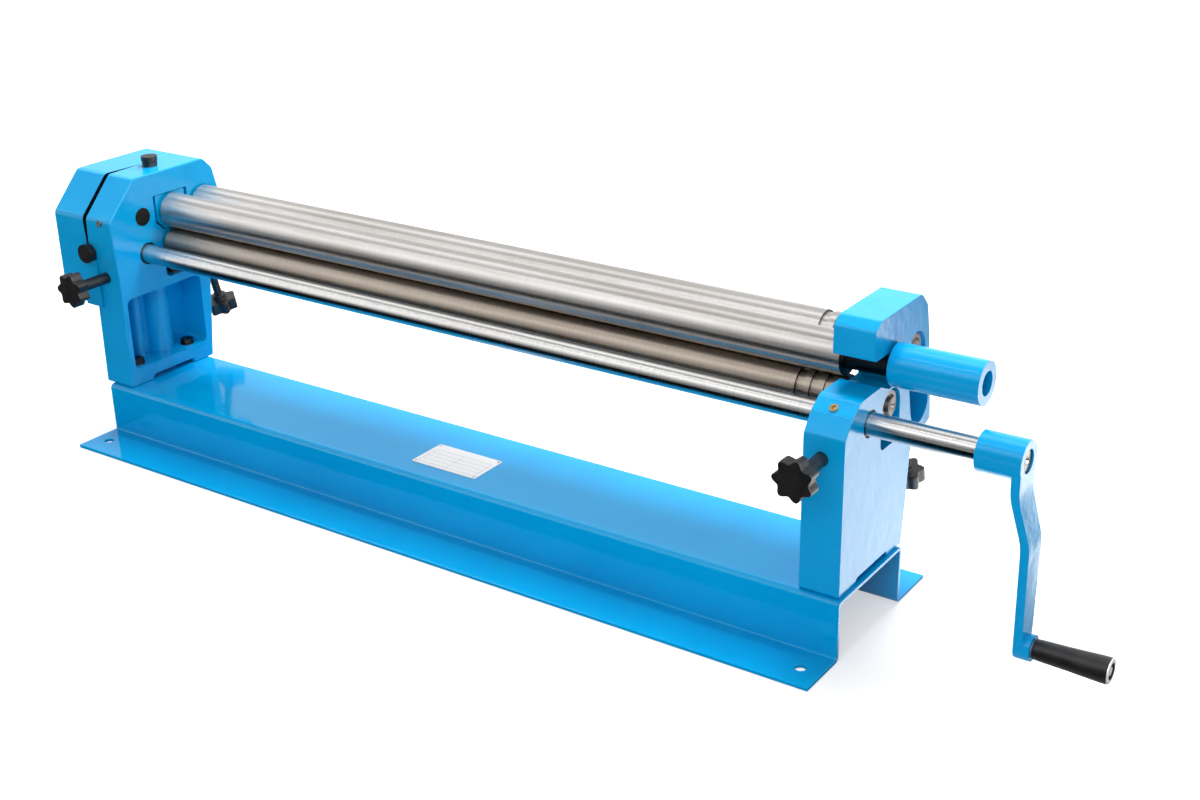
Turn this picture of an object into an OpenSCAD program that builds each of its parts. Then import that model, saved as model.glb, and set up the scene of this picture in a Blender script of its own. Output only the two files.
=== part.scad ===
// Hand-cranked plate rolling machine (slip roll) for thin sheet.
// X runs along the rolls to the crank, Y to the rear and Z up.
// The origin is the middle of the four mounting holes, on the floor.
// All sizes are in millimetres.

/* [Base channel] */
// Length of the folded base channel
base_l = 1190; // [1150:1:1230]
// Width of the channel's raised deck
base_w = 160; // [150:1:175]
// Height of the deck above the floor
base_h = 75.5; // [65:0.5:95]
// Width of each floor flange beyond the deck
flange_w = 69; // [60:1:85]
// Thickness of the folded sheet
sheet_t = 4.5; // [3:0.5:6]
// Outer radius of the four folds
fold_r = 6.5; // [6.5:0.5:9]
// Diameter of the mounting holes
mount_d = 13; // [9:0.5:15]
// Distance of the mounting holes from the channel's ends
mount_end = 26; // [20:1:40]
// Distance of the mounting holes from the flanges' long edges
mount_edge = 33; // [20:1:40]

/* [Rolls] */
// Diameter of the three forming rolls
roll_d = 50; // [47:0.5:53]
// Gap between the ends of the rolls' faces and the castings
end_gap = 4; // [3:0.5:6]
// Vertical gap between the two front rolls at rest
pinch_gap = 0.3; // [0.2:0.1:1]
// Height of the upper roll's axis above the deck
upper_h = 242.5; // [242:0.5:250]
// Distance of the front rolls' axes behind the middle of the base
pinch_y = 38.5; // [37:0.5:40]
// Free space between the upper roll and the rear roll
rear_gap = 9.5; // [8:0.5:12]
// Height of the rear roll's axis below the upper roll's axis
rear_drop = 3; // [0:0.5:5]
// Lean of the rear roll's slot from the vertical, in degrees
rear_tilt = 13; // [11:0.5:14]
// Distance of the wire grooves' start from the rolls' right end
groove_in = 55; // [45:1:80]
// Width of the widest wire groove
groove_w = 10; // [6:1:12]
// Depth of the wire grooves
groove_depth = 3; // [2:0.5:4]
// Diameter of the lower and rear rolls' bearing journals
journal_d = 20; // [18:0.5:21]
// Diameter of the upper roll's journal in the right stand
end_journal_d = 32; // [28:0.5:32]
// Diameter of the upper roll's journal in the swivel block
swivel_journal_d = 27; // [24:0.5:28]
// Angle that the upper roll swings out forwards, in degrees
swing_max = 7; // [6:0.5:7]

/* [Castings] */
// Thickness of the left housing along the rolls
housing_t = 53; // [50:1:55]
// Thickness of the right stand along the rolls
stand_t = 50; // [48:1:54]
// Length of the channel under and beyond each casting, on average
end_room = 48; // [45:0.5:60]
// Distance of the castings' middle to the left of the channel's middle
castings_off = 6; // [0:1:10]
// Depth of the pocket in each leg
pocket_depth = 42; // [36:1:44]
// Thickness of the foot below the pocket
foot_t = 25.5; // [20:0.5:30]
// Height of the relief under each foot
relief_h = 7; // [4:0.5:9]
// Height of the castings above the upper roll's axis
head_h = 60; // [56:1:66]

/* [Gear train] */
// Tooth module of the four gears
gear_module = 2.5; // [2.4:0.05:2.5]
// Teeth of the pinion on the drive shaft
pinion_teeth = 21; // [20:1:21]
// Teeth of the idler gear
idler_teeth = 23; // [23:1:24]
// Teeth of the two roll gears
roll_teeth = 20; // [20:1:21]
// Face width of the idler and roll gears
gear_face = 20; // [16:1:21]
// Play between the teeth of two gears
backlash = 0.5; // [0.3:0.1:0.8]
// Depth of the gear cover along the rolls
cover_depth = 64; // [64:1:72]
// Wall of the gear cover
cover_wall = 5; // [4:0.5:6]

/* [Drive] */
// Diameter of the drive shaft
shaft_d = 27; // [24:0.5:28]
// Distance of the crank's hub from the right stand
hub_gap = 128; // [115:1:150]
// Length of the crank's hub
hub_l = 51; // [44:1:60]
// Diameter of the crank's hub
hub_d = 46; // [40:1:50]
// Distance from the shaft to the grip's axis
crank_r = 215; // [180:1:225]
// Thickness of the crank's arm
arm_t = 10; // [8:0.5:12]
// Sideways step of the crank's bent arm
arm_step = 15; // [10:0.5:18]
// Length of the turning grip
grip_l = 84; // [70:1:100]
// Largest diameter of the grip
grip_d = 29.6; // [26:0.2:34]

/* [Adjusters] */
// Diameter of the star knobs
knob_d = 50; // [44:1:50]
// Thickness of the star knobs
knob_t = 18; // [14:1:22]
// Diameter of the front adjusting screws
screw_d = 16; // [14:0.5:16]
// Diameter of the rear adjusting screws
rear_screw_d = 12; // [10:0.5:12]
// Height of the front screws above the floor of the wedge slot
screw_h = 20; // [19:0.5:20]
// Distance from the casting to the front knobs
front_reach = 46; // [40:1:56]
// Distance from the lower boss to the rear knobs
rear_reach = 62; // [56:1:70]
// Horizontal wedge travel for each unit of lift
wedge_ratio = 3; // [2.5:0.1:3]

/* [Roll-end handle] */
// Diameter of the tubular handle
handle_d = 50; // [44:1:52]
// Length of the tubular handle
handle_l = 105; // [90:1:130]
// Bore of the tubular handle
handle_bore = 28; // [24:0.5:30]

/* [Clearances] */
// Radial clearance of shafts and bores that turn
run_gap = 0.05; // [0.02:0.01:0.08]
// Gap between pieces that slide or pass each other
slide_gap = 0.4; // [0.3:0.1:0.5]
// Radial clearance of fixed pieces in their seats
seat_gap = 0.02; // [0.01:0.01:0.05]

/* [Hidden] */
$fn = 64;

blue = [0.0, 0.51, 0.83];
steel = [0.72, 0.72, 0.7];
dark_steel = [0.25, 0.25, 0.26];
black = [0.08, 0.08, 0.09];
bronze = [0.7, 0.52, 0.26];

// Main planes along X
mount_dx = base_l - 2 * mount_end;
mount_dy = base_w + 2 * (flange_w - mount_edge);
span = base_l - 2 * end_room;
roll_l = span - 2 * end_gap;
housing_x1 = -span / 2 - castings_off;
housing_x0 = housing_x1 - housing_t;
stand_x0 = span / 2 - castings_off;
stand_x1 = stand_x0 + stand_t;
housing_mid = (housing_x0 + housing_x1) / 2;
stand_mid = (stand_x0 + stand_x1) / 2;
roll_x0 = stand_x0 - end_gap - roll_l;
roll_x1 = stand_x0 - end_gap;
seam_gap = 0.4;
cover_x1 = housing_x0 - seam_gap;
cover_x0 = cover_x1 - cover_depth;

// Roll axes
roll_r = roll_d / 2;
upper_z = base_h + upper_h;
lower_z = upper_z - roll_d - pinch_gap;
rear_y = pinch_y + roll_d + rear_gap;
rear_z = upper_z - rear_drop;
top_z = upper_z + head_h;

// Gear planes: the lower gear runs next to the housing, the others outside it
plane_gap = 4;
gear_clear = 3;
inner_x1 = housing_x0 - gear_clear;
inner_x0 = inner_x1 - gear_face;
outer_x1 = inner_x0 - plane_gap;
outer_x0 = outer_x1 - gear_face;
gear_ring_t = 2;

// Gear centres, each from its mate at the pitch distance and a little more
mesh_gap = 0.2;
pinion_r = pinion_teeth * gear_module / 2;
idler_r = idler_teeth * gear_module / 2;
roll_gear_r = roll_teeth * gear_module / 2;
drive_fall = 3;
drive_dist = pinion_r + roll_gear_r + mesh_gap;
drive_y = pinch_y - drive_dist * cos(drive_fall);
drive_z = lower_z - drive_dist * sin(drive_fall);
to_pinion = pinion_r + idler_r + mesh_gap;
to_upper = idler_r + roll_gear_r + mesh_gap;
line_l = norm([pinch_y - drive_y, upper_z - drive_z]);
along = (to_pinion ^ 2 - to_upper ^ 2 + line_l ^ 2) / (2 * line_l);
aside = sqrt(to_pinion ^ 2 - along ^ 2);
line_dir = [pinch_y - drive_y, upper_z - drive_z] / line_l;
idler_y = drive_y + along * line_dir[0] - aside * line_dir[1];
idler_z = drive_z + along * line_dir[1] + aside * line_dir[0];

// Tooth phases that keep the train in mesh at rest
pinion_phase = 0;
lower_line = drive_fall;
lower_phase = mate_phase(pinion_phase, lower_line, pinion_teeth, roll_teeth);
idler_line = atan2(idler_z - drive_z, idler_y - drive_y);
idler_phase = mate_phase(pinion_phase, idler_line, pinion_teeth, idler_teeth);
upper_line = atan2(upper_z - idler_z, pinch_y - idler_y);
upper_phase = mate_phase(idler_phase, upper_line, idler_teeth, roll_teeth);

// Slots and the blocks that slide in them
slot_r = roll_r - 2;
slot_drop = 2.5;
block_r = slot_r - 3.5;
slot_floor_z = lower_z - 47.7;
floor_corner = 8;
cup_r = block_r - 2;
cup_wall = 4.5;
cage_gap = 0.3;
cup_in = 2.5;
cage_in = 6;
needle_in = 9;
journal_r = journal_d / 2;
block_in = 17;
block_out = 12;
rear_slot_l = 73;
rear_tail = 45;
screw_pocket = 12;
tip_r = 3;
tip_l = 5;
wedge_l = 30;
wedge_base = 0.3;
wedge_push = 7;
block_base = 24;
front_screw_z = slot_floor_z + screw_h;
front_screw_x = [housing_mid - 0.5, stand_mid - 2.5];
rear_screw_x = [housing_mid - 4, stand_mid];

// Swivel block of the upper roll
swivel_x = housing_x1 - 35;
swivel_back = 13;
swivel_front = 34.5;
swivel_half_z = roll_r + 0.5;
window_gap = 1;
window_half_y = 31.6;
window_half_z = swivel_half_z + window_gap;
window_chamfer = 14;
swivel_half_y = (window_half_y - slide_gap - swivel_front * sin(swing_max)) / cos(swing_max);
swivel_chamfer = (window_chamfer - window_gap + slide_gap) / cos(swing_max);
pin_r = 6;
spigot_r = 8;
swivel_r = swivel_journal_d / 2;
swivel_bush_wall = 3.5;

// Castings' outline
foot_front = -base_w / 2 + 7;
foot_rear = base_w / 2 + 5;
leg_rear = foot_rear + 6;
head_front = -base_w / 2 + 5;
boss_s = 112;
boss_rear = 52;
arm_clear = 0.4;
gap_top = upper_z + end_journal_d / 2 + arm_clear;
gap_rear = pinch_y + end_journal_d / 2 + 3.5;
shoulder_z = upper_z - 18.5;
pocket_y0 = foot_front + 10;
pocket_y1 = leg_rear - 15;
pocket_z0 = base_h + foot_t;
pocket_z1 = slot_floor_z - 12;
pocket_corner = 9;
relief_y0 = -34;
relief_y1 = 48;
rib_y = [-20, 21];
rib_r = [10, 20];
bolt_in = 19;
bolt_x = [housing_x1 - bolt_in, stand_x0 + bolt_in];
bolt_d = 10;
bolt_y = [pocket_y0 + pocket_corner + bolt_d + 1, pocket_y1 - pocket_corner - bolt_d - 4];

// Drive
shaft_r = shaft_d / 2;
bush_wall = 2.5;
seat_d = 20;
seat_r = seat_d / 2;
hub_x0 = stand_x1 + hub_gap;
hub_x1 = hub_x0 + hub_l;
grip_x0 = hub_x1 + arm_step + 9;
grip_z = drive_z - crank_r;
key_w = 6;
key_h = 6;
hub_key_l = 30;
grub_r = 4;
grub_x = hub_x0 + 20;
grub_seat = shaft_r - 2;

// Plug in the housing's front face and cap of the swivel pin
plug_x = housing_x0 + 2.6;
plug_z = drive_z + 10.5;
plug_r = 13.7;
plug_l = 10.8;
plug_thread_r = 2;
plug_thread_l = 12;
cap_r = 11.7;
cap_l = 14.5;

// Handle on the upper roll
handle_x0 = stand_x1 + 3.5;
handle_x1 = handle_x0 + handle_l;
tenon_l = 52;
tenon_r = handle_bore / 2 - 1.5;
handle_seat = tenon_r - 2;
collar_x0 = stand_x1 - stand_t / 2;

// Tooth form of an involute gear, as angles in degrees
pressure = 20;
flank_steps = 5;

function involute(a) = tan(a) * 180 / PI - a;

function mate_phase(phase, line, teeth, mate_teeth) =
  line + 180 + 180 / mate_teeth - (phase - line) * teeth / mate_teeth;

function half_tooth(teeth, r) =
  let (pitch_r = teeth * gear_module / 2)
  let (base_r = pitch_r * cos(pressure))
  let (half_pitch = (PI * gear_module / 2 - backlash / 2) / (2 * pitch_r) * 180 / PI)
  half_pitch + involute(pressure) - involute(acos(min(1, base_r / r)));

function tooth_points(teeth, mid) =
  let (pitch_r = teeth * gear_module / 2)
  let (base_r = pitch_r * cos(pressure))
  let (root_r = pitch_r - 1.25 * gear_module)
  let (tip_r = pitch_r + gear_module)
  let (start_r = max(base_r, root_r))
  let (radii = [for (i = [0:flank_steps]) start_r + (tip_r - start_r) * i / flank_steps])
  concat(
    [polar(root_r, mid - half_tooth(teeth, start_r))],
    [for (i = [0:flank_steps]) polar(radii[i], mid - half_tooth(teeth, radii[i]))],
    [for (i = [flank_steps:-1:0]) polar(radii[i], mid + half_tooth(teeth, radii[i]))],
    [polar(root_r, mid + half_tooth(teeth, start_r))]
  );

function polar(r, a) = [r * cos(a), r * sin(a)];

// Corner of an outline, rounded with the radius that its third number gives
function corner(p, q, s) =
  let (a = [p[0] - q[0], p[1] - q[1]])
  let (b = [s[0] - q[0], s[1] - q[1]])
  let (ua = a / norm(a))
  let (ub = b / norm(b))
  let (half = acos(ua * ub) / 2)
  let (r = q[2])
  let (mid = (ua + ub) / norm(ua + ub))
  let (c = [q[0], q[1]] + mid * r / sin(half))
  let (t0 = [q[0], q[1]] + ua * r / tan(half) - c)
  let (a0 = atan2(t0[1], t0[0]))
  let (turn = (ua[0] * ub[1] - ua[1] * ub[0]) > 0 ? -1 : 1)
  let (sweep = 180 - 2 * half)
  [for (i = [0:4]) c + polar(r, a0 + turn * sweep * i / 4)];

function outline(points) =
  let (n = len(points))
  [for (i = [0:n - 1])
    each points[i][2] > 0
      ? corner(points[(i + n - 1) % n], points[i], points[(i + 1) % n])
      : [[points[i][0], points[i][1]]]];

// A flat YZ shape drawn out along X
module along_x(x0, x1) {
  translate([x0, 0, 0]) rotate([90, 0, 90]) linear_extrude(height = x1 - x0) children();
}

module rod_x(x0, x1, r, y, z) {
  translate([x0, y, z]) rotate([0, 90, 0]) cylinder(h = x1 - x0, r = r);
}

module rod_y(y0, y1, r, x, z) {
  translate([x, y0, z]) rotate([-90, 0, 0]) cylinder(h = y1 - y0, r = r);
}

module rod_z(z0, z1, r, x, y) {
  translate([x, y, z0]) cylinder(h = z1 - z0, r = r);
}

module ring_x(x0, x1, r_out, r_in, y, z) {
  difference() {
    rod_x(x0, x1, r_out, y, z);
    rod_x(x0 - 1, x1 + 1, r_in, y, z);
  }
}

// Frame of the rear roll's slot: -Z runs down the slot from the roll's axis
module rear_frame() {
  translate([0, rear_y, rear_z]) rotate([rear_tilt, 0, 0]) children();
}

// Base

module channel_profile() {
  deck = base_w / 2;
  foot = deck + flange_w;
  inner_r = fold_r - sheet_t;
  polygon(outline([
    [-foot, 0, 0], [-deck + sheet_t, 0, fold_r], [-deck + sheet_t, base_h - sheet_t, inner_r],
    [deck - sheet_t, base_h - sheet_t, inner_r], [deck - sheet_t, 0, fold_r], [foot, 0, 0],
    [foot, sheet_t, 0], [deck, sheet_t, inner_r], [deck, base_h, fold_r],
    [-deck, base_h, fold_r], [-deck, sheet_t, inner_r], [-foot, sheet_t, 0]
  ]));
}

module base_channel() {
  color(blue) difference() {
    along_x(-base_l / 2, base_l / 2) channel_profile();
    for (sx = [-1, 1], sy = [-1, 1])
      rod_z(-1, sheet_t + 1, mount_d / 2, sx * mount_dx / 2, sy * mount_dy / 2);
    for (x = bolt_x, y = bolt_y)
      rod_z(base_h - sheet_t - 1, base_h + 1, bolt_d / 2 + 0.5, x, y);
  }
}

// Slots

module lower_slot_shape(half, r) {
  top = lower_z - slot_drop;
  translate([pinch_y, top]) circle(r = half);
  polygon(outline([
    [pinch_y - half, slot_floor_z, floor_corner], [pinch_y + half, slot_floor_z, floor_corner],
    [pinch_y + half, top, 0], [pinch_y - half, top, 0]
  ]));
}

module lower_slot(x0, x1) {
  along_x(x0, x1) lower_slot_shape(slot_r, floor_corner);
}

module rear_slot(x0, x1) {
  rear_frame() {
    rod_x(x0, x1, slot_r, 0, -slot_drop);
    rod_x(x0, x1, slot_r, 0, -slot_drop - rear_slot_l);
    translate([x0, -slot_r, -slot_drop - rear_slot_l])
      cube([x1 - x0, 2 * slot_r, rear_slot_l]);
  }
}

module front_screw_hole(x) {
  rod_y(head_front - 5, pinch_y - slot_r + 5, screw_d / 2 + slide_gap, x, front_screw_z);
}

module rear_screw_hole(x) {
  rear_frame()
    rod_z(-boss_s - 20, -slot_drop - rear_slot_l, rear_screw_d / 2 + slide_gap, x, 0);
}

// The rear of both castings, from the roof down to the foot
function boss_point(s, out) =
  [rear_y + s * sin(rear_tilt) + out * cos(rear_tilt),
   rear_z - s * cos(rear_tilt) + out * sin(rear_tilt)];

function rear_outline() =
  let (low_out = boss_point(boss_s, boss_rear / 2))
  let (low_in = boss_point(boss_s, -boss_rear / 2))
  let (high_out = boss_point(boss_s - 26, boss_rear / 2 + 3))
  [
    [foot_rear, base_h, 0],
    [leg_rear, (base_h + low_in[1]) / 2 - 10, 30],
    [low_in[0], low_in[1], 3],
    [low_out[0], low_out[1], 7],
    [high_out[0], high_out[1], 7],
    [rear_y + slot_r + 10, rear_z + 15, 20],
    [rear_y + slot_r + 3, top_z - 17, 12],
    [rear_y + 9, top_z, 12]
  ];

module leg_bolt_holes(x) {
  for (y = bolt_y)
    rod_z(base_h - 1, pocket_z0 + 1, bolt_d / 2 + 0.5, x, y);
}

module foot_relief(x0, x1) {
  along_x(x0, x1) polygon(outline([
    [relief_y0, base_h - 1, 0], [relief_y1, base_h - 1, 0],
    [relief_y1 - 3, base_h + relief_h, 2], [relief_y0 + 5, base_h + relief_h, 3]
  ]));
}

module leg_pocket(x0, x1) {
  along_x(x0, x1) polygon(outline([
    [pocket_y0, pocket_z0, pocket_corner], [pocket_y1, pocket_z0, pocket_corner],
    [pocket_y1, pocket_z1, pocket_corner], [pocket_y0, pocket_z1, pocket_corner]
  ]));
}

// Round ribs that stand against the back wall of a leg's pocket
module pocket_ribs(x) {
  for (i = [0, 1])
    rod_z(pocket_z0 - 1, pocket_z1 + 1, rib_r[i], x, rib_y[i]);
}

// Left housing

module housing_outline() {
  polygon(outline(concat(rear_outline(), [
    [head_front + 50, top_z, 9],
    [head_front, top_z - 52, 9],
    [head_front, upper_z - 26, 12],
    [head_front + 4, slot_floor_z + 16, 30],
    [foot_front - 1, base_h, 4]
  ])));
}

module window_shape(half_y, half_z, chamfer) {
  polygon([
    [pinch_y - half_y, upper_z - half_z + chamfer], [pinch_y - half_y + chamfer, upper_z - half_z],
    [pinch_y + half_y - chamfer, upper_z - half_z], [pinch_y + half_y, upper_z - half_z + chamfer],
    [pinch_y + half_y, upper_z + half_z], [pinch_y - half_y, upper_z + half_z]
  ]);
}

module gear_housing() {
  color(blue) difference() {
    along_x(housing_x0, housing_x1) housing_outline();
    difference() {
      leg_pocket(housing_x1 - pocket_depth, housing_x1 + 1);
      pocket_ribs(housing_x1 - pocket_depth);
    }
    foot_relief(housing_x0 - 1, housing_x1 + 1);
    leg_bolt_holes(bolt_x[0]);
    lower_slot(housing_x0 - 1, housing_x1 + 1);
    rear_slot(housing_x0 - 1, housing_x1 + 1);
    front_screw_hole(front_screw_x[0]);
    rear_screw_hole(rear_screw_x[0]);
    along_x(housing_x0 - 1, housing_x1 + 1)
      window_shape(window_half_y, window_half_z, window_chamfer);
    rod_z(upper_z, top_z + 1, pin_r + seat_gap, swivel_x, pinch_y);
    rod_z(lower_z, upper_z, spigot_r + run_gap, swivel_x, pinch_y);
    rod_x(housing_x0 - 1, housing_x1 + 1, shaft_r + bush_wall + seat_gap, drive_y, drive_z);
    rod_x(housing_x0 - 1, housing_x1 + 1, idler_head_r + seat_gap, idler_y, idler_z);
    rod_y(head_front - 1, head_front + 10, oiler_r + seat_gap, oiler_x, oiler_z);
    rod_y(head_front - 1, head_front + plug_thread_l + 1, plug_thread_r + seat_gap, plug_x, plug_z);
    seam_relief(housing_x0, -1, housing_relief);
    translate([housing_x0 - 5, head_front - 5, cover_bottom - slide_gap])
      cube([tongue_x1 - housing_x0 + 5 + slide_gap, 5 + cover_wall + slide_gap,
        tongue_z1 - cover_bottom + 2 * slide_gap]);
    for (p = cover_screw_places)
      rod_x(housing_x0 - 1, housing_x0 + cover_screw_in, cover_screw_r + seat_gap, p[0], p[1]);
  }
}

// Gear cover

cover_bottom = slot_floor_z - 26;
cover_rear = rear_y + slot_r + 15;
cover_screw_r = 3;
cover_screw_in = 14;
cover_boss_r = 6.5;
cover_screw_places = [
  [head_front + 18, cover_bottom + 18],
  [head_front + 40, top_z - 21],
  [rear_y + slot_r - 20, top_z - 21],
  [cover_rear - 18, cover_bottom + 18]
];

module cover_outline(inset) {
  k = inset;
  polygon(outline([
    [head_front + k, cover_bottom + k, 8], [cover_rear - k, cover_bottom + k, 8],
    [cover_rear - k, rear_z + 15, 20], [rear_y + slot_r + 3 - k, top_z - 17, 12],
    [rear_y + 9 - k / 2, top_z - k, 12], [head_front + 50 + k / 2, top_z - k, 12],
    [head_front + k, top_z - 52 - k / 2, 12]
  ]));
}

// The castings stand apart along their upper front edge, in a wedge-shaped gap
cover_relief = 5.5;
housing_relief = 4.5;
tongue_x1 = housing_x0 + 12.5;
tongue_z1 = plug_z - 8;

module seam_relief(x, side, angle) {
  reach = 200;
  gap_y = pinch_y - 5;
  low_z = drive_z - 3;
  slope = atan2(top_z - low_z, gap_y - head_front);
  translate([x, gap_y, top_z]) rotate([slope, 0, 0]) rotate([0, -side * angle, 0])
    translate([side > 0 ? 0 : -reach, -reach, 0]) cube([reach, 2 * reach, reach]);
}

module gear_cover() {
  color(blue) difference() {
    union() {
      difference() {
        along_x(cover_x0, cover_x1) cover_outline(0);
        along_x(cover_x0 + cover_wall, cover_x1 + 1) cover_outline(cover_wall);
      }
      for (p = cover_screw_places)
        rod_x(cover_x0 + 1, cover_x1, cover_boss_r, p[0], p[1]);
      translate([cover_x1 - 20, head_front, cover_bottom])
        cube([tongue_x1 - cover_x1 + 20, cover_wall, tongue_z1 - cover_bottom]);
    }
    for (p = cover_screw_places) {
      rod_x(cover_x0 - 1, cover_x1 + 1, cover_screw_r + 0.3, p[0], p[1]);
      rod_x(cover_x0 - 1, cover_x0 + 3.5, cover_screw_r * 2, p[0], p[1]);
    }
    seam_relief(cover_x1, 1, cover_relief);
  }
}

module cover_screws() {
  color(dark_steel) for (p = cover_screw_places) difference() {
    union() {
      rod_x(cover_x0 + 0.5, cover_x0 + 3.5, cover_screw_r * 1.8, p[0], p[1]);
      rod_x(cover_x0 + 3.4, housing_x0 + cover_screw_in - 1, cover_screw_r, p[0], p[1]);
    }
    translate([cover_x0, p[0], p[1]]) rotate([0, 90, 0]) cylinder(h = 2.2, r = 2.9, $fn = 6);
  }
}

// Right stand

module stand_outline() {
  arm_front = foot_front + 63;
  polygon(outline(concat(rear_outline(), [
    [arm_front + 14, top_z, 6],
    [arm_front, top_z - 9, 8],
    [arm_front, gap_top, 5],
    [gap_rear, gap_top, 5],
    [gap_rear, shoulder_z - 9, 6],
    [pinch_y - 8, shoulder_z - 9, 8],
    [pinch_y - 28, shoulder_z, 8],
    [foot_front + 36, shoulder_z, 16],
    [foot_front + 17, shoulder_z - 12, 12],
    [foot_front, shoulder_z - 34, 12],
    [foot_front, base_h, 4]
  ])));
}

module right_stand() {
  color(blue) difference() {
    along_x(stand_x0, stand_x1) stand_outline();
    difference() {
      leg_pocket(stand_x0 - 1, stand_x0 + pocket_depth);
      pocket_ribs(stand_x0 + pocket_depth);
    }
    foot_relief(stand_x0 - 1, stand_x1 + 1);
    leg_bolt_holes(bolt_x[1]);
    lower_slot(stand_x0 - 1, stand_x1 + 1);
    rear_slot(stand_x0 - 1, stand_x1 + 1);
    front_screw_hole(front_screw_x[1]);
    rear_screw_hole(rear_screw_x[1]);
    rod_x(stand_x0 - 1, stand_x1 + 1, shaft_r + bush_wall + seat_gap, drive_y, drive_z);
    stand_oiler_frame() rod_z(-10, 5, oiler_r + seat_gap, 0, 0);
  }
}

// Fastenings of the castings

module casting_bolts() {
  color(dark_steel) for (x = bolt_x, y = bolt_y) {
    rod_z(base_h - sheet_t - 12, pocket_z0 + 2.1, bolt_d / 2, x, y);
    translate([x, y, pocket_z0 + 2]) cylinder(h = 6.4, r = bolt_d * 0.92, $fn = 6);
  }
}

module casting_washers() {
  color(steel) for (x = bolt_x, y = bolt_y) difference() {
    rod_z(pocket_z0, pocket_z0 + 2, bolt_d, x, y);
    rod_z(pocket_z0 - 1, pocket_z0 + 3, bolt_d / 2 + seat_gap, x, y);
  }
}

module casting_nuts() {
  color(dark_steel) for (x = bolt_x, y = bolt_y) difference() {
    translate([x, y, base_h - sheet_t - 8]) cylinder(h = 8, r = bolt_d * 0.92, $fn = 6);
    rod_z(base_h - sheet_t - 9, base_h, bolt_d / 2 + seat_gap, x, y);
  }
}

// Plate and small fittings

plate_l = 105;
plate_w = 60;
plate_t = 0.8;
plate_x = 7.5;
plate_y = -17;
rivet_r = 1.5;

module plate_at_corners() {
  for (sx = [-1, 1], sy = [-1, 1])
    translate([plate_x + sx * (plate_l / 2 - 4), plate_y + sy * (plate_w / 2 - 4), base_h])
      children();
}

module rating_plate() {
  color([0.8, 0.81, 0.82]) difference() {
    translate([plate_x, plate_y, base_h]) linear_extrude(height = plate_t) polygon(outline([
      [-plate_l / 2, -plate_w / 2, 3], [plate_l / 2, -plate_w / 2, 3],
      [plate_l / 2, plate_w / 2, 3], [-plate_l / 2, plate_w / 2, 3]
    ]));
    plate_at_corners() cylinder(h = 3, r = rivet_r + seat_gap, center = true);
  }
}

module plate_rivets() {
  color(steel) plate_at_corners() {
    cylinder(h = plate_t, r = rivet_r);
    translate([0, 0, plate_t]) cylinder(h = 0.7, r1 = rivet_r * 1.6, r2 = rivet_r, $fn = 32);
  }
}

oiler_r = 4;
oiler_x = housing_x1 - 22;
oiler_z = upper_z + 4;

module oiler() {
  difference() {
    union() {
      rod_z(-6, 1, oiler_r, 0, 0);
      rod_z(0, 1.2, oiler_r + 1, 0, 0);
    }
    rod_z(-4, 2, oiler_r * 0.55, 0, 0);
  }
  translate([0, 0, -1.2]) sphere(r = oiler_r * 0.55);
}

module housing_oiler() {
  color(steel) translate([oiler_x, head_front, oiler_z]) rotate([90, 0, 0]) oiler();
}

module stand_oiler_frame() {
  rise = 22;
  run = 17;
  slope = atan2(rise, run);
  translate([stand_mid - 1, foot_front + run * 1.35, shoulder_z - 12 + 3.95])
    rotate([slope * 0.62, 0, 0]) children();
}

module stand_oiler() {
  color(bronze) stand_oiler_frame() oiler();
}

// Plug head: two discs with a neck between them
module plug_head(r, l) {
  disc = l * 0.43;
  rod_z(0, disc, r * 0.93, 0, 0);
  rod_z(disc - 0.1, l - disc + 0.1, r * 0.84, 0, 0);
  rod_z(l - disc, l, r, 0, 0);
}

module grease_plug() {
  color(black) translate([plug_x, head_front, plug_z]) rotate([90, 0, 0]) {
    plug_head(plug_r, plug_l);
    rod_z(-plug_thread_l, 0.1, plug_thread_r, 0, 0);
  }
}

// Idler

idler_head_r = 13;
idler_pin_r = 9;
idler_bush_wall = 3;
idler_end = outer_x0 - 8;

module idler_axle() {
  color(dark_steel) difference() {
    union() {
      rod_x(housing_x0 - 2, housing_x1 + 0.5, idler_head_r, idler_y, idler_z);
      rod_x(idler_end, housing_x0 - 1.9, idler_pin_r, idler_y, idler_z);
    }
    ring_x(outer_x0 - gear_ring_t - 0.8, outer_x0 - 0.7, idler_pin_r + 1, idler_pin_r - 1,
      idler_y, idler_z);
  }
}

module idler_ring() {
  color(dark_steel) ring_x(outer_x0 - gear_ring_t - 0.75, outer_x0 - 0.75, idler_pin_r + 4,
    idler_pin_r - 1 + seat_gap, idler_y, idler_z);
}

module idler_bush() {
  color(bronze) ring_x(outer_x0, outer_x1, idler_pin_r + idler_bush_wall,
    idler_pin_r + run_gap, idler_y, idler_z);
}

module gear(x0, x1, teeth, phase, bore_r, y, z) {
  difference() {
    translate([0, y, z]) along_x(x0, x1)
      polygon([for (i = [0:teeth - 1]) each tooth_points(teeth, phase + 360 * i / teeth)]);
    rod_x(x0 - 1, x1 + 1, bore_r, y, z);
  }
}

module idler_gear() {
  color(dark_steel) gear(outer_x0, outer_x1, idler_teeth, idler_phase,
    idler_pin_r + idler_bush_wall + seat_gap, idler_y, idler_z);
}

// Key and key slot on top of a shaft's gear seat
module key_slot(x0, x1, r, y, z, room) {
  translate([x0 - room, y - key_w / 2 - room, z + r - key_h / 2 - room])
    cube([x1 - x0 + 2 * room, key_w + 2 * room, key_h + 2 * room]);
}

// Drive shaft

module shaft_bush(x0, x1) {
  color(bronze) ring_x(x0, x1, shaft_r + bush_wall, shaft_r + run_gap, drive_y, drive_z);
}

module shaft_bush_left() {
  shaft_bush(housing_x0 + 2, housing_x1 - 2);
}

module shaft_bush_right() {
  shaft_bush(stand_x0 + 2, stand_x1 - 2);
}

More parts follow.
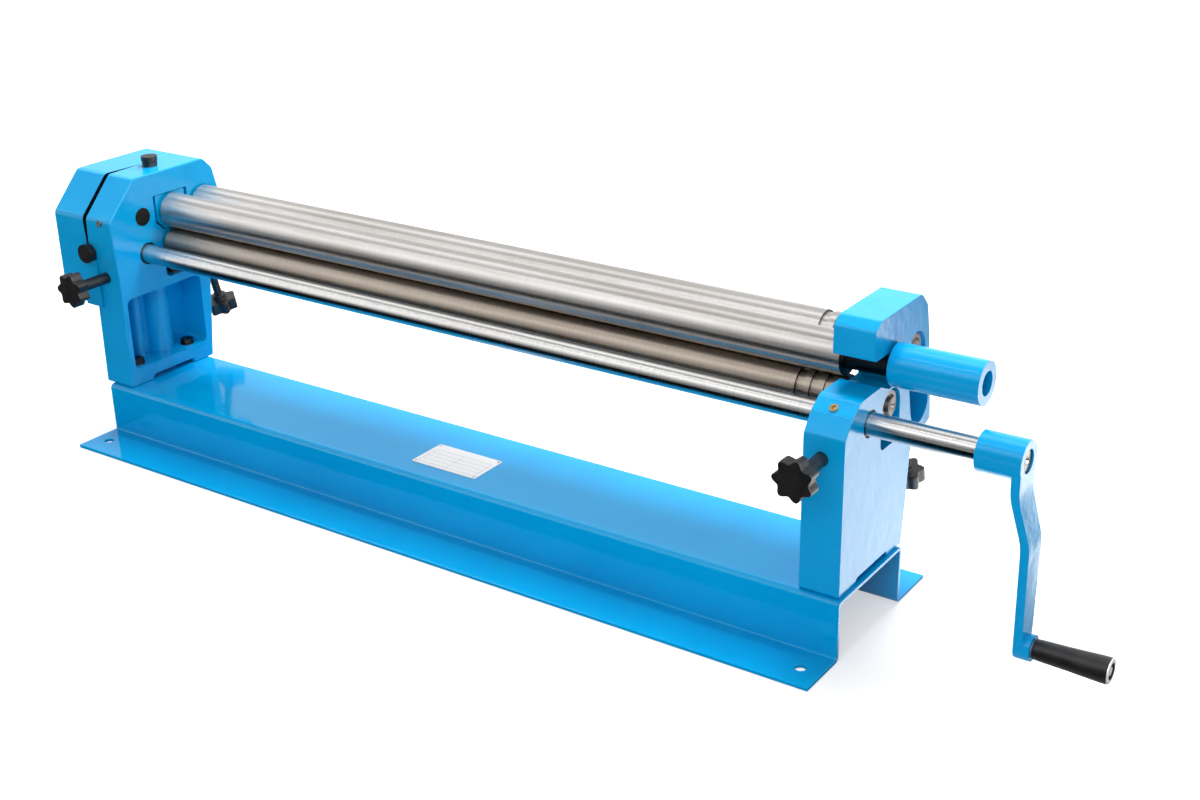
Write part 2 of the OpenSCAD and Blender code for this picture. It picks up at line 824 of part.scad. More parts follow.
pinion_key_x0 = outer_x0 + 8;
pinion_key_x1 = inner_x1 - 8;

module drive_shaft() {
  color(steel) difference() {
    union() {
      rod_x(housing_x0 - 2, hub_x1 - 2, shaft_r, drive_y, drive_z);
      rod_x(outer_x0 - 6, housing_x0 - 1.9, seat_r, drive_y, drive_z);
    }
    key_slot(pinion_key_x0, pinion_key_x1, seat_r, drive_y, drive_z, seat_gap);
    key_slot(hub_x0 + 6, hub_x0 + 6 + hub_key_l, shaft_r, drive_y, drive_z, seat_gap);
    rod_y(drive_y + grub_seat, drive_y + shaft_r + 1, grub_r + seat_gap, grub_x, drive_z);
    centre_hole(hub_x1 - 2, drive_y, drive_z);
    ring_x(outer_x0 - gear_ring_t - 0.8, outer_x0 - 0.7, seat_r + 1, seat_r - 1, drive_y, drive_z);
  }
}

module drive_pinion() {
  color(dark_steel) difference() {
    gear(outer_x0, inner_x1, pinion_teeth, pinion_phase, seat_r + seat_gap, drive_y, drive_z);
    key_slot(outer_x0 - 1, inner_x1 + 1, seat_r, drive_y, drive_z, seat_gap);
  }
}

module pinion_key() {
  color(steel) key_slot(pinion_key_x0, pinion_key_x1, seat_r, drive_y, drive_z, 0);
}

module pinion_ring() {
  color(dark_steel) ring_x(outer_x0 - gear_ring_t - 0.75, outer_x0 - 0.75, seat_r + 4,
    seat_r - 1 + seat_gap, drive_y, drive_z);
}

// Crank

arm_x0 = hub_x1 - arm_t;
arm_w_low = 35;
bend_from = 37;
bend_to = 90;
bend_top = drive_z - bend_from;
bend_low = drive_z - bend_to;
boss_r = 14.5;
spindle_r = 5;

// The arm seen along Y, a flat bar with an easy S bend
module arm_side() {
  polygon(outline([
    [arm_x0, drive_z, 0],
    [arm_x0, bend_top, 70],
    [arm_x0 + arm_step, bend_low, 70],
    [arm_x0 + arm_step, grip_z - 30, 0],
    [arm_x0 + arm_step + arm_t, grip_z - 30, 0],
    [arm_x0 + arm_step + arm_t, bend_low, 70],
    [hub_x1, bend_top, 70],
    [hub_x1, drive_z, 0]
  ]));
}

// The arm seen along X, tapering down to the grip's boss
module arm_front() {
  translate([drive_y, drive_z]) circle(r = hub_d / 2 - 1);
  translate([drive_y, grip_z]) circle(r = boss_r);
  polygon([
    [drive_y - hub_d / 2 + 2, drive_z - 4], [drive_y - arm_w_low / 2, bend_low],
    [drive_y - boss_r, grip_z], [drive_y + boss_r, grip_z],
    [drive_y + arm_w_low / 2, bend_low], [drive_y + hub_d / 2 - 2, drive_z - 4]
  ]);
}

module crank_arm() {
  color(blue) difference() {
    union() {
      rod_x(hub_x0, hub_x1, hub_d / 2, drive_y, drive_z);
      intersection() {
        translate([0, drive_y + hub_d, 0]) rotate([90, 0, 0])
          linear_extrude(height = 2 * hub_d) arm_side();
        along_x(hub_x0, grip_x0) arm_front();
      }
      rod_x(arm_x0 + arm_step + 1, grip_x0 - 1, boss_r + 0.5, drive_y, grip_z);
    }
    rod_x(hub_x0 - 1, hub_x1 + 1, shaft_r + seat_gap, drive_y, drive_z);
    key_slot(hub_x0 - 1, hub_x0 + 6 + hub_key_l, shaft_r, drive_y, drive_z, seat_gap);
    rod_y(drive_y, drive_y + hub_d, grub_r + seat_gap, grub_x, drive_z);
    rod_x(arm_x0 + arm_step - 1, grip_x0 + 1, spindle_r + seat_gap, drive_y, grip_z);
  }
}

module crank_key() {
  color(steel) key_slot(hub_x0 + 6, hub_x0 + 6 + hub_key_l, shaft_r, drive_y, drive_z, 0);
}

// Grub screw with a hexagon socket, along Y
module grub_screw(x, y0, y1, z) {
  difference() {
    rod_y(y0, y1, grub_r, x, z);
    translate([x, y1 - 4, z]) rotate([-90, 0, 0]) cylinder(h = 6, r = 2.3, $fn = 6);
  }
}

module crank_screw() {
  color(dark_steel) grub_screw(grub_x, drive_y + grub_seat + 0.3, drive_y + hub_d / 2 - 1.5, drive_z);
}

grip_x1 = grip_x0 + grip_l;
grip_waist = grip_d * 0.8;

module grip_spindle() {
  color(steel) difference() {
    union() {
      rod_x(arm_x0 + arm_step, grip_x1 - 1, spindle_r, drive_y, grip_z);
      rod_x(grip_x0 - 0.9, grip_x0 - 0.3, spindle_r + 4, drive_y, grip_z);
    }
    ring_x(grip_x1 - 5, grip_x1 - 3.4, spindle_r + 1, spindle_r - 1, drive_y, grip_z);
  }
}

module grip_ring() {
  color(steel) ring_x(grip_x1 - 4.9, grip_x1 - 3.5, spindle_r + 3, spindle_r - 1 + seat_gap,
    drive_y, grip_z);
}

// The grip is slim at the arm, swells, and is widest at its free end
module crank_grip() {
  color(black) difference() {
    translate([grip_x0, drive_y, grip_z]) rotate([90, 0, 90]) rotate_extrude() polygon(outline([
      [0, 0, 0], [grip_waist / 2 - 0.5, 0, 2], [grip_waist / 2, grip_l * 0.1, 30],
      [grip_waist / 2 + 1, grip_l * 0.45, 60], [grip_d / 2, grip_l * 0.9, 14],
      [grip_d / 2 - 0.3, grip_l, 2], [0, grip_l, 0]
    ]));
    rod_x(grip_x0 - 1, grip_x1 + 1, spindle_r + run_gap, drive_y, grip_z);
    rod_x(grip_x1 - 6, grip_x1 + 1, spindle_r + 4.5, drive_y, grip_z);
  }
}

// Swivel block of the upper roll

module swivel_block() {
  color(blue) difference() {
    union() {
      along_x(swivel_x - swivel_back, swivel_x + swivel_front)
        window_shape(swivel_half_y, swivel_half_z, swivel_chamfer);
      rod_z(lower_z + slot_r - 1.5, upper_z - swivel_half_z + 1, spigot_r, swivel_x, pinch_y);
    }
    rod_x(swivel_x - swivel_back - 1, swivel_x + swivel_front + 1,
      swivel_r + swivel_bush_wall + seat_gap, pinch_y, upper_z);
    rod_z(upper_z + swivel_half_z - 6, top_z, pin_r + run_gap, swivel_x, pinch_y);
  }
}

module swivel_pin() {
  color(black) {
    rod_z(upper_z + swivel_half_z - 5.5, top_z + 0.1, pin_r, swivel_x, pinch_y);
    translate([swivel_x, pinch_y, top_z]) plug_head(cap_r, cap_l);
  }
}

module swivel_bush() {
  color(bronze) ring_x(swivel_x - swivel_back, swivel_x + swivel_front,
    swivel_r + swivel_bush_wall, swivel_r + run_gap, pinch_y, upper_z);
}

// Rolls

// Wire grooves near a roll's right end, the widest first
rear_groove_in = 4;

module wire_grooves(x0, y, z) {
  pitch = [0, 1.85, 3.55];
  wide = [1, 0.75, 0.6];
  for (i = [0:2])
    ring_x(x0 + pitch[i] * groove_w, x0 + (pitch[i] + wide[i]) * groove_w, roll_r + 1,
      roll_r - groove_depth * wide[i], y, z);
}

upper_seat_r = 11;
upper_key_x0 = outer_x0 + 2;
upper_key_x1 = outer_x1 - 2;

module upper_roll() {
  color(steel) difference() {
    union() {
      rod_x(roll_x0, roll_x1, roll_r, pinch_y, upper_z);
      rod_x(housing_x0 - 3, roll_x0 + 1, swivel_r, pinch_y, upper_z);
      rod_x(outer_x0 - 6, housing_x0 - 2.9, upper_seat_r, pinch_y, upper_z);
      rod_x(roll_x1 - 1, collar_x0, end_journal_d / 2, pinch_y, upper_z);
      rod_x(collar_x0 - 1, handle_x0 + tenon_l, tenon_r, pinch_y, upper_z);
    }
    key_slot(upper_key_x0, upper_key_x1, upper_seat_r, pinch_y, upper_z, seat_gap);
    ring_x(outer_x0 - gear_ring_t - 0.8, outer_x0 - 0.7, upper_seat_r + 1, upper_seat_r - 1,
      pinch_y, upper_z);
    rod_y(pinch_y + handle_seat, pinch_y + handle_d, grub_r + seat_gap, handle_x0 + 20, upper_z);
  }
}

module upper_gear() {
  color(dark_steel) difference() {
    gear(outer_x0, outer_x1, roll_teeth, upper_phase, upper_seat_r + seat_gap, pinch_y, upper_z);
    key_slot(outer_x0 - 1, outer_x1 + 1, upper_seat_r, pinch_y, upper_z, seat_gap);
  }
}

module upper_key() {
  color(steel) key_slot(upper_key_x0, upper_key_x1, upper_seat_r, pinch_y, upper_z, 0);
}

module upper_ring() {
  color(dark_steel) ring_x(outer_x0 - gear_ring_t - 0.75, outer_x0 - 0.75, upper_seat_r + 4,
    upper_seat_r - 1 + seat_gap, pinch_y, upper_z);
}

module journal_collar() {
  color(black) ring_x(collar_x0, handle_x0, end_journal_d / 2 - 0.5,
    tenon_r + seat_gap, pinch_y, upper_z);
}

module roll_handle() {
  color(blue) difference() {
    rod_x(handle_x0, handle_x1, handle_d / 2, pinch_y, upper_z);
    rod_x(handle_x0 - 1, handle_x1, tenon_r + seat_gap, pinch_y, upper_z);
    rod_x(handle_x0 + tenon_l, handle_x1 + 1, handle_bore / 2, pinch_y, upper_z);
    rod_y(pinch_y, pinch_y + handle_d, grub_r + seat_gap, handle_x0 + 20, upper_z);
  }
}

module handle_screw() {
  color(dark_steel)
    grub_screw(handle_x0 + 20, pinch_y + handle_seat + 0.3, pinch_y + handle_d / 2 - 1.5, upper_z);
}

// Sliding blocks. Each has a round boss towards the rolls, whose way is in = 1 or -1.
function block_x0(mid, in) = in > 0 ? mid - block_out : mid - block_in;
function block_x1(mid, in) = in > 0 ? mid + block_in : mid + block_out;

module block_boss(mid, half, in) {
  tip = half - cup_in;
  rod_x(in > 0 ? mid - block_out : mid - tip, in > 0 ? mid + tip : mid + block_out, block_r, 0, 0);
}

module block_bore(mid, half) {
  rod_x(mid - half - 1, mid + half + 1, cup_r + seat_gap, 0, 0);
}

module lower_block(mid, half, in) {
  side = slot_r - slide_gap;
  top = -5.5;
  nose = wedge_push - wedge_l / 2;
  color(blue) translate([0, pinch_y, lower_z]) difference() {
    union() {
      block_boss(mid, half, in);
      along_x(block_x0(mid, in), block_x1(mid, in)) polygon([
        [-side, -12], [nose, -cup_r], [nose, -block_base - nose / wedge_ratio],
        [side, -block_base - side / wedge_ratio], [side, top], [-side, top]
      ]);
    }
    block_bore(mid, half);
  }
}

module lower_block_left() {
  lower_block(housing_mid, housing_t / 2, 1);
}

module lower_block_right() {
  lower_block(stand_mid, stand_t / 2, -1);
}

module bearing_cup(mid, half, y, z) {
  ring_x(mid - half + cup_in, mid + half - cup_in, cup_r, cup_r - cup_wall, y, z);
}

// Cage of a needle bearing, with its needles
module bearing_cage(mid, half, y, z) {
  needles = 16;
  cage_r0 = journal_r + cage_gap;
  cage_r1 = cup_r - cup_wall - cage_gap;
  needle_r = (cage_r1 - cage_r0) / 2 + cage_gap - run_gap;
  ring_x(mid - half + cage_in, mid + half - cage_in, cage_r1, cage_r0, y, z);
  translate([0, y, z]) for (i = [0:needles - 1])
    rotate([360 * i / needles, 0, 0])
      rod_x(mid - half + needle_in, mid + half - needle_in, needle_r, 0,
        (cage_r0 + cage_r1) / 2, $fn = 24);
}

module lower_cups() {
  color(steel) {
    bearing_cup(housing_mid, housing_t / 2, pinch_y, lower_z);
    bearing_cup(stand_mid, stand_t / 2, pinch_y, lower_z);
  }
}

module lower_cages() {
  color(bronze) {
    bearing_cage(housing_mid, housing_t / 2, pinch_y, lower_z);
    bearing_cage(stand_mid, stand_t / 2, pinch_y, lower_z);
  }
}

lower_key_x0 = inner_x0 + 2;
lower_key_x1 = inner_x1 - 2;

// Centre hole in a roll's end, which faces +X at x
module centre_hole(x, y, z) {
  rod_x(x - 8, x, 1.6, y, z);
  translate([x - 4, y, z]) rotate([0, 90, 0]) cylinder(h = 5, r1 = 1, r2 = 5);
}

module lower_roll() {
  color([0.6, 0.56, 0.5]) difference() {
    union() {
      rod_x(roll_x0, roll_x1, roll_r, pinch_y, lower_z);
      rod_x(inner_x0 - 6, roll_x0 + 1, journal_r, pinch_y, lower_z);
      rod_x(roll_x1 - 1, stand_x1 + 1, journal_r, pinch_y, lower_z);
    }
    wire_grooves(roll_x1 - groove_in, pinch_y, lower_z);
    key_slot(lower_key_x0, lower_key_x1, journal_r, pinch_y, lower_z, seat_gap);
    ring_x(inner_x0 - gear_ring_t - 0.8, inner_x0 - 0.7, journal_r + 1, journal_r - 1,
      pinch_y, lower_z);
    centre_hole(stand_x1 + 1, pinch_y, lower_z);
  }
}

module lower_gear() {
  color(dark_steel) difference() {
    gear(inner_x0, inner_x1, roll_teeth, lower_phase, journal_r + seat_gap, pinch_y, lower_z);
    key_slot(inner_x0 - 1, inner_x1 + 1, journal_r, pinch_y, lower_z, seat_gap);
  }
}

module lower_key() {
  color(steel) key_slot(lower_key_x0, lower_key_x1, journal_r, pinch_y, lower_z, 0);
}

module lower_ring() {
  color(dark_steel) ring_x(inner_x0 - gear_ring_t - 0.75, inner_x0 - 0.75, journal_r + 3.5,
    journal_r - 1 + seat_gap, pinch_y, lower_z);
}

module rear_block(mid, half, screw_x, in) {
  side = slot_r - slide_gap;
  top = -8;
  color(blue) rear_frame() difference() {
    union() {
      block_boss(mid, half, in);
      translate([block_x0(mid, in), -side, -rear_tail])
        cube([block_in + block_out, 2 * side, rear_tail + top]);
    }
    block_bore(mid, half);
    rod_z(-rear_tail - 1, -rear_tail + screw_pocket, rear_screw_d / 2 + run_gap, screw_x, 0);
  }
}

module rear_block_left() {
  rear_block(housing_mid, housing_t / 2, rear_screw_x[0], 1);
}

module rear_block_right() {
  rear_block(stand_mid, stand_t / 2, rear_screw_x[1], -1);
}

module rear_cups() {
  color(steel) {
    bearing_cup(housing_mid, housing_t / 2, rear_y, rear_z);
    bearing_cup(stand_mid, stand_t / 2, rear_y, rear_z);
  }
}

module rear_cages() {
  color(bronze) {
    bearing_cage(housing_mid, housing_t / 2, rear_y, rear_z);
    bearing_cage(stand_mid, stand_t / 2, rear_y, rear_z);
  }
}

module rear_roll() {
  color(steel) difference() {
    union() {
      rod_x(roll_x0, roll_x1, roll_r, rear_y, rear_z);
      rod_x(housing_x0 + 1, roll_x0 + 1, journal_r, rear_y, rear_z);
      rod_x(roll_x1 - 1, stand_x1 - 1, journal_r, rear_y, rear_z);
    }
    wire_grooves(roll_x1 - groove_in - rear_groove_in, rear_y, rear_z);
    centre_hole(stand_x1 - 1, rear_y, rear_z);
  }
}

// Wedges under the lower roll's blocks

module front_wedge(mid, screw_x, in) {
  y1 = pinch_y + wedge_l / 2 + wedge_push;
  y0 = y1 - wedge_l;
  low = slot_floor_z + wedge_base;
  top = lower_z - block_base - 0.3;
  cut = floor_corner - 2;
  color(dark_steel) difference() {
    along_x(block_x0(mid, in), block_x1(mid, in)) polygon([
      [y0, low + cut], [y0 + cut, low], [y1 - cut, low], [y1, low + cut],
      [y1, top - (y1 - pinch_y) / wedge_ratio], [y0, top - (y0 - pinch_y) / wedge_ratio]
    ]);
    rod_y(y0 - 1, y0 + tip_l + 0.5, tip_r + run_gap, screw_x, front_screw_z);
  }
}

module front_wedge_left() {
  front_wedge(housing_mid, front_screw_x[0], 1);
}

module front_wedge_right() {
  front_wedge(stand_mid, front_screw_x[1], -1);
}

// Star knob with its screw. The knob's back face is at z = 0 and the screw points up.
knob_lobes = 7;
lobe_depth = 2.8;

function star_points(r) =
  [for (i = [0:111]) polar(r - lobe_depth * (1 - cos(knob_lobes * i * 360 / 112)), 180 + i * 360 / 112)];

module star_knob(screw_l, screw_r) {
  translate([0, 0, -knob_t]) linear_extrude(height = knob_t) polygon(star_points(knob_d / 2));
  rod_z(-1, screw_l, screw_r, 0, 0);
}

module front_knob(x) {
  wedge_y0 = pinch_y - wedge_l / 2 + wedge_push;
  knob_y = head_front - front_reach;
  screw_l = wedge_y0 - 0.3 - knob_y;
  color(black) translate([x, knob_y, front_screw_z]) rotate([-90, 0, 0]) {
    star_knob(screw_l, screw_d / 2);
    rod_z(screw_l - 1, screw_l + tip_l, tip_r, 0, 0);
  }
}

module front_knob_left() {
  front_knob(front_screw_x[0]);
}

module front_knob_right() {
  front_knob(front_screw_x[1]);
}

module rear_knob(x) {
  hub_r = 10;
  hub_h = 8;
  knob_s = boss_s + rear_reach;
  color(black) rear_frame() translate([x, 0, -knob_s]) {
    star_knob(knob_s - rear_tail + screw_pocket - 0.5, rear_screw_d / 2);
    rod_z(-0.5, hub_h, hub_r, 0, 0);
  }
}

module rear_knob_left() {
  rear_knob(rear_screw_x[0]);
}

module rear_knob_right() {
  rear_knob(rear_screw_x[1]);
}

base_channel();
gear_housing();
gear_cover();
right_stand();
cover_screws();
casting_bolts();
casting_washers();
casting_nuts();
rating_plate();
plate_rivets();
housing_oiler();
stand_oiler();
grease_plug();
idler_axle();
idler_ring();
idler_bush();
idler_gear();
shaft_bush_left();
shaft_bush_right();
drive_shaft();
drive_pinion();
pinion_key();
pinion_ring();
crank_arm();
crank_key();
crank_screw();
grip_spindle();
grip_ring();
crank_grip();
swivel_block();
swivel_pin();
swivel_bush();
upper_roll();
upper_gear();
upper_key();
upper_ring();
journal_collar();
roll_handle();
handle_screw();
lower_block_left();
lower_block_right();
lower_cups();
lower_cages();
lower_roll();
lower_gear();
lower_key();
lower_ring();
rear_block_left();
rear_block_right();
rear_cups();
rear_cages();
rear_roll();
front_wedge_left();
front_wedge_right();
front_knob_left();
front_knob_right();
rear_knob_left();
rear_knob_right();
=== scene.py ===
"""Looks of a hand-cranked plate rolling machine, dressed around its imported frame.

Lengths are in metres: X runs along the rolls to the crank, Y to the rear roll and Z up.
"""

import math

import bmesh
import bpy
from mathutils import Matrix, Vector


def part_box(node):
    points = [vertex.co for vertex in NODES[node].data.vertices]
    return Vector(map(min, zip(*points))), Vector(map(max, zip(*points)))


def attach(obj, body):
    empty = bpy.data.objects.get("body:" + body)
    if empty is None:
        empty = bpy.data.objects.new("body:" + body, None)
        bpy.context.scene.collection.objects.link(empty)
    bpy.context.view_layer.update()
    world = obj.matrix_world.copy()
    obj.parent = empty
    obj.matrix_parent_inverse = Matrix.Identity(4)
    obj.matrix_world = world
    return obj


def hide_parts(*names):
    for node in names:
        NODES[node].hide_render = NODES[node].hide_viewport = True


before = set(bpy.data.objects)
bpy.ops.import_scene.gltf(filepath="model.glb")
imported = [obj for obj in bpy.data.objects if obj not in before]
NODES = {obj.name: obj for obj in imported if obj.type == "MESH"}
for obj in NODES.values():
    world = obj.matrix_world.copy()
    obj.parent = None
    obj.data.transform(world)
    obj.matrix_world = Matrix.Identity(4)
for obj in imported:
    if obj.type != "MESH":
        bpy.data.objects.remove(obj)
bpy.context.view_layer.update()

# Places along the machine, from the frame
HOUSING_LO, HOUSING_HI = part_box("gear_housing")
STAND_LO, STAND_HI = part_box("right_stand")
COVER_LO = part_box("gear_cover")[0]
PLATE_LO, PLATE_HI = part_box("rating_plate")
GRIP_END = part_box("crank_grip")[1].x


def axis_place(name):
    """Y and Z of the axis of a turned piece that lies along X."""
    low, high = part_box(name)
    return (low.y + high.y) / 2, (low.z + high.z) / 2


UPPER_Y, UPPER_Z = axis_place("upper_roll")
REAR_Y, REAR_Z = axis_place("rear_roll")
DRIVE_Y, DRIVE_Z = axis_place("drive_shaft")
IDLER_Y, IDLER_Z = axis_place("idler_axle")

# Reach of the slots, bores and pockets that open in the castings' sides, across X. The probe is
# how far from an edge a hole is looked for.
FRONT_SLOT_HALF = 0.0325
FRONT_SLOT_FOOT = 0.2
FRONT_SLOT_TOP = UPPER_Z + 0.03
REAR_SLOT_HALF = 0.024
REAR_SLOT_REACH = 0.1
REAR_SLOT_LEAN = math.radians(13)
DRIVE_BORE_RADIUS = 0.022
IDLER_BORE_RADIUS = 0.014
POCKET_FRONT, POCKET_REAR = -0.064, 0.078
POCKET_FOOT, POCKET_TOP = 0.1, 0.2095
PROBE = 0.012

# The gap between the housing and its cover, with its rounded edges and the shade in it, which is painted
# near black
SEAM_LOW = HOUSING_LO.x - 0.013
SEAM_HIGH = HOUSING_LO.x + 0.0108
SEAM_FOOT = COVER_LO.z + 0.0006

# Beyond these places along X the upper roll is black, and the grip's outer face is a steel rim
BLACK_FROM = STAND_LO.x - 0.0038
RIM_FROM = GRIP_END - 0.003

# Rounded edges of the stand-ins
OUTLINE_ROUND = 0.0045
SEAM_ROUND = 0.0009
HOUSING_ROUND = 0.0006
COVER_ROUND = 0.0005
STAND_ROUND = 0.0006
ARM_ROUND = 0.0025
HANDLE_ROUND = 0.0012
SHEET_ROUND = 0.0005
KNOB_ROUND = 0.0014

# Corners closer than the weld are joined, and faces that meet in less than the flat angle.
# Edges over the round angle are rounded, and those over the sharp angle stay sharp.
WELD = 0.00001
FLAT_ANGLE = math.radians(0.6)
ROUND_ANGLE = math.radians(35)
SHARP_ANGLE = math.radians(32)

# A face lies across X where its normal's X is over the first, and along X where it is under
# the second. An edge is on a plane within the third.
ACROSS_X = 0.98
ALONG_X = 0.3
ON_PLANE = 0.0002

# Colours, linear
BLACK = (0, 0, 0)
WHITE = (1, 1, 1)
BLUE = (0.0, 0.315, 0.66)
BLUE_DEEP = (0.0, 0.298, 0.64)
BLUE_PALE = (0.0, 0.332, 0.68)
WORN_BLUE = (0.02, 0.12, 0.22)
# Painted shade: near black for the faces inside the gap between the housing and its cover
SEAM_SHADE_BLACK = (0.004, 0.006, 0.009)
JOURNAL_BLACK = (0.035, 0.032, 0.031)
PLASTIC_BLACK = (0.005, 0.005, 0.0055)
PLASTIC_GREY = (0.013, 0.013, 0.014)
RIM_DARK = (0.62, 0.6, 0.58)
RIM_LIGHT = (0.8, 0.79, 0.78)
TOOL_MARK = (0.7, 0.685, 0.67)
END_TONE = (0.1, 0.094, 0.092)
FOIL_DARK = (0.72, 0.73, 0.75)
FOIL_LIGHT = (0.84, 0.85, 0.87)
INK = (0.10, 0.10, 0.12)
BRONZE = (0.50, 0.32, 0.14)
BRASS = (0.78, 0.55, 0.24)

# Steels: a dark, a middle and a light tone
ROLL_TONES = ((0.54, 0.505, 0.475), (0.66, 0.64, 0.62), (0.75, 0.735, 0.72))
WORN_TONES = ((0.33, 0.28, 0.235), (0.39, 0.34, 0.29), (0.46, 0.415, 0.36))
SHAFT_TONES = ((0.62, 0.61, 0.60), (0.68, 0.675, 0.665), (0.74, 0.735, 0.73))
BLACK_STEEL_TONES = ((0.020, 0.020, 0.022), (0.035, 0.034, 0.035), (0.06, 0.058, 0.058))
ZINC_TONES = ((0.55, 0.54, 0.53), (0.66, 0.65, 0.64), (0.76, 0.75, 0.74))
GEAR_TONES = ((0.22, 0.22, 0.22), (0.32, 0.32, 0.32), (0.42, 0.42, 0.42))

# Scales of the marks that turning leaves, of the steels' broad shades and of the brushed foil
TURNED_GRAIN = (2400, 9, 9)
SHADE_GRAIN = (3, 60, 60)
FOIL_GRAIN = (40, 1400, 40)

# Range of roughness of the turned steels
ROLL_ROUGH = (0.33, 0.41)
SHAFT_ROUGH = (0.25, 0.32)

# How uneven the metal under the enamel is
CAST = 1.0
SHEET = 0.15

# Shares of worn specks in the enamel, of tool marks in steel and of ink on the plate
WORN_SHARE = 0.25
MARK_SHARE = 0.6
INK_SHARE = 0.75

# The enamel: its refraction, its least roughness and the range above it, and its lumps, each
# on smooth metal and with what rough metal adds
ENAMEL_IOR = 1.41
ENAMEL_ROUGH, CAST_ROUGH = 0.035, 0.085
ENAMEL_RANGE, CAST_RANGE = 0.05, 0.05
ENAMEL_LUMPS, CAST_LUMPS = 0.12, 0.35

# How metallic the finishes are that aren't bare metal
ZINC_METALLIC = 0.55
RIM_METALLIC = 0.6
FOIL_METALLIC = 0.4

# How turned steel stretches its shine, and which way, as a share of a turn
SHINE_STRETCH = 0.85
SHINE_TURN = 0.25

# How far a face has to look along X to count as in the gap, as a piece's end or as the rim
SEAM_FACING = 0.6
END_FACING = 0.9
RIM_FACING = 0.35

# Width over which one finish changes to another, as a length and as a share of the normal
BLUR = 0.0004
BLACK_BLUR = 0.0006
NORMAL_BLUR = 0.1

# The rating plate's empty grid, as shares of the plate, and its lines
PLATE_ROWS = (0.1, 0.26, 0.42, 0.58, 0.74)
PLATE_COLUMNS = (0.06, 0.5, 0.94)
LINE_HALF = 0.00025
GRID_EDGE = 0.0003

# Sockets of a node that mixes colours
MIX_FACTOR, MIX_FIRST, MIX_SECOND, MIX_RESULT = 0, 6, 7, 2

# Camera of the photograph, in the machine's frame
CAMERA_PLACE = (1.3017, -1.5403, 1.0077)
CAMERA_RIGHT = Vector((0.82427141, 0.56586862, -0.01921836))
CAMERA_DOWN = Vector((0.20756219, -0.33357668, -0.91958933))
CAMERA_FORWARD = Vector((-0.52677754, 0.75400219, -0.39241065))
CAMERA_LENS = 50.376
CAMERA_SENSOR = 36
CAMERA_NEAR = 0.05

# The paper on the floor, and the light that it adds for the camera, by distance from the middle
FLOOR_HALF = 30
FLOOR_GREY = (0.55, 0.55, 0.55)
FLOOR_ROUGH = 0.95
FLOOR_LIFT = [(0.0, 0.46), (1.0, 0.54), (1.9, 0.75), (2.8, 1.0)]

# What mirrors see of the floor behind the machine, and of a bright card beyond its right end,
# by the place along slanting bands
FLOOR_SLANT = 0.7
FLOOR_BEHIND = [(-0.95, 1.0), (-0.72, 0.05), (-0.45, 0.05), (-0.2, 0.6), (0.3, 0.7), (1.4, 0.5)]
FLOOR_CARD = [(0.32, 0.0), (0.44, 3.5), (0.64, 3.5), (0.74, 0.05), (0.8, 0.0)]
BEHIND_FROM, BEHIND_BLUR = -0.05, 0.16
CARD_FROM, CARD_BLUR = 0.61, 0.03

# What mirrors see of the floor in front, by Y
FLOOR_FRONT = [(-6, 0.1), (-3.4, 0.1), (-2.6, 0.5), (-1.3, 0.5), (-0.9, 0.0)]

# What mirrors see of the room, by how far the view points to the rear, and at the right side
ROOM = [
    (-0.9, 0.05), (-0.85, 0.15), (-0.81, 1.6), (-0.77, 2.1), (-0.66, 2.1), (-0.56, 0.45),
    (-0.44, 0.5), (-0.41, 5.0), (-0.385, 5.0), (-0.355, 0.5), (0.05, 0.65), (0.12, 1.6),
    (0.34, 1.6), (0.44, 0.65), (0.62, 0.9), (0.8, 0.85), (0.88, 1.3),
]
SIDE_CARD = 4
SIDE_FROM, SIDE_BLUR = 0.7, 0.12

# Light of the room on the machine, and of the white that the camera sees behind it
WORLD_LIGHT = 0.56
BACKDROP = 1

# Lamps: name, place, target, width, height and watts
LAMPS = (
    ("key", (1.1, -2.4, 1.9), (0.3, 0, 0.2), 1.6, 1.6, 28),
    ("top", (0.1, 0.9, 2.6), (0.1, 0, 0.1), 1.2, 0.9, 95),
    ("rear", (-1.0, 2.6, 2.0), (0, 0, 0.1), 2.8, 1.2, 105),
)


# Meshes

def mesh_copy(node, name):
    """A new object with the node's mesh, its split corners joined and its flat faces whole."""
    mesh = NODES[node].data.copy()
    mesh.name = name
    obj = bpy.data.objects.new(name, mesh)
    bpy.context.scene.collection.objects.link(obj)
    bm = bmesh.new()
    bm.from_mesh(mesh)
    bmesh.ops.remove_doubles(bm, verts=bm.verts, dist=WELD)
    bmesh.ops.dissolve_limit(
        bm, angle_limit=FLAT_ANGLE, verts=bm.verts, edges=bm.edges, delimit={"NORMAL"},
    )
    # The stored corner normals don't fit the joined corners
    for layer in list(bm.loops.layers.float_vector):
        bm.loops.layers.float_vector.remove(layer)
    bm.to_mesh(mesh)
    bm.free()
    return obj


def round_edges(obj, width, pick, steps):
    """Rounds the sharp edges for which pick(edge) is true."""
    bm = bmesh.new()
    bm.from_mesh(obj.data)
    bm.normal_update()
    edges = [
        edge for edge in bm.edges
        if len(edge.link_faces) == 2 and edge.calc_face_angle(0) > ROUND_ANGLE and pick(edge)
    ]
    bmesh.ops.bevel(
        bm, geom=edges, offset=width, offset_type="OFFSET", segments=steps, profile=0.5,
        affect="EDGES", clamp_overlap=True, loop_slide=True,
    )
    bm.normal_update()
    bm.to_mesh(obj.data)
    bm.free()


def smooth(obj):
    """Smooth shading that keeps the flat faces flat and the sharp edges sharp."""
    mesh = obj.data
    for name in ("custom_normal", "sharp_edge", "sharp_face"):
        if name in mesh.attributes:
            mesh.attributes.remove(mesh.attributes[name])
    mesh.shade_smooth()
    mesh.set_sharp_from_angle(angle=SHARP_ANGLE)
    weighted = obj.modifiers.new("weighted", "WEIGHTED_NORMAL")
    weighted.keep_sharp = True


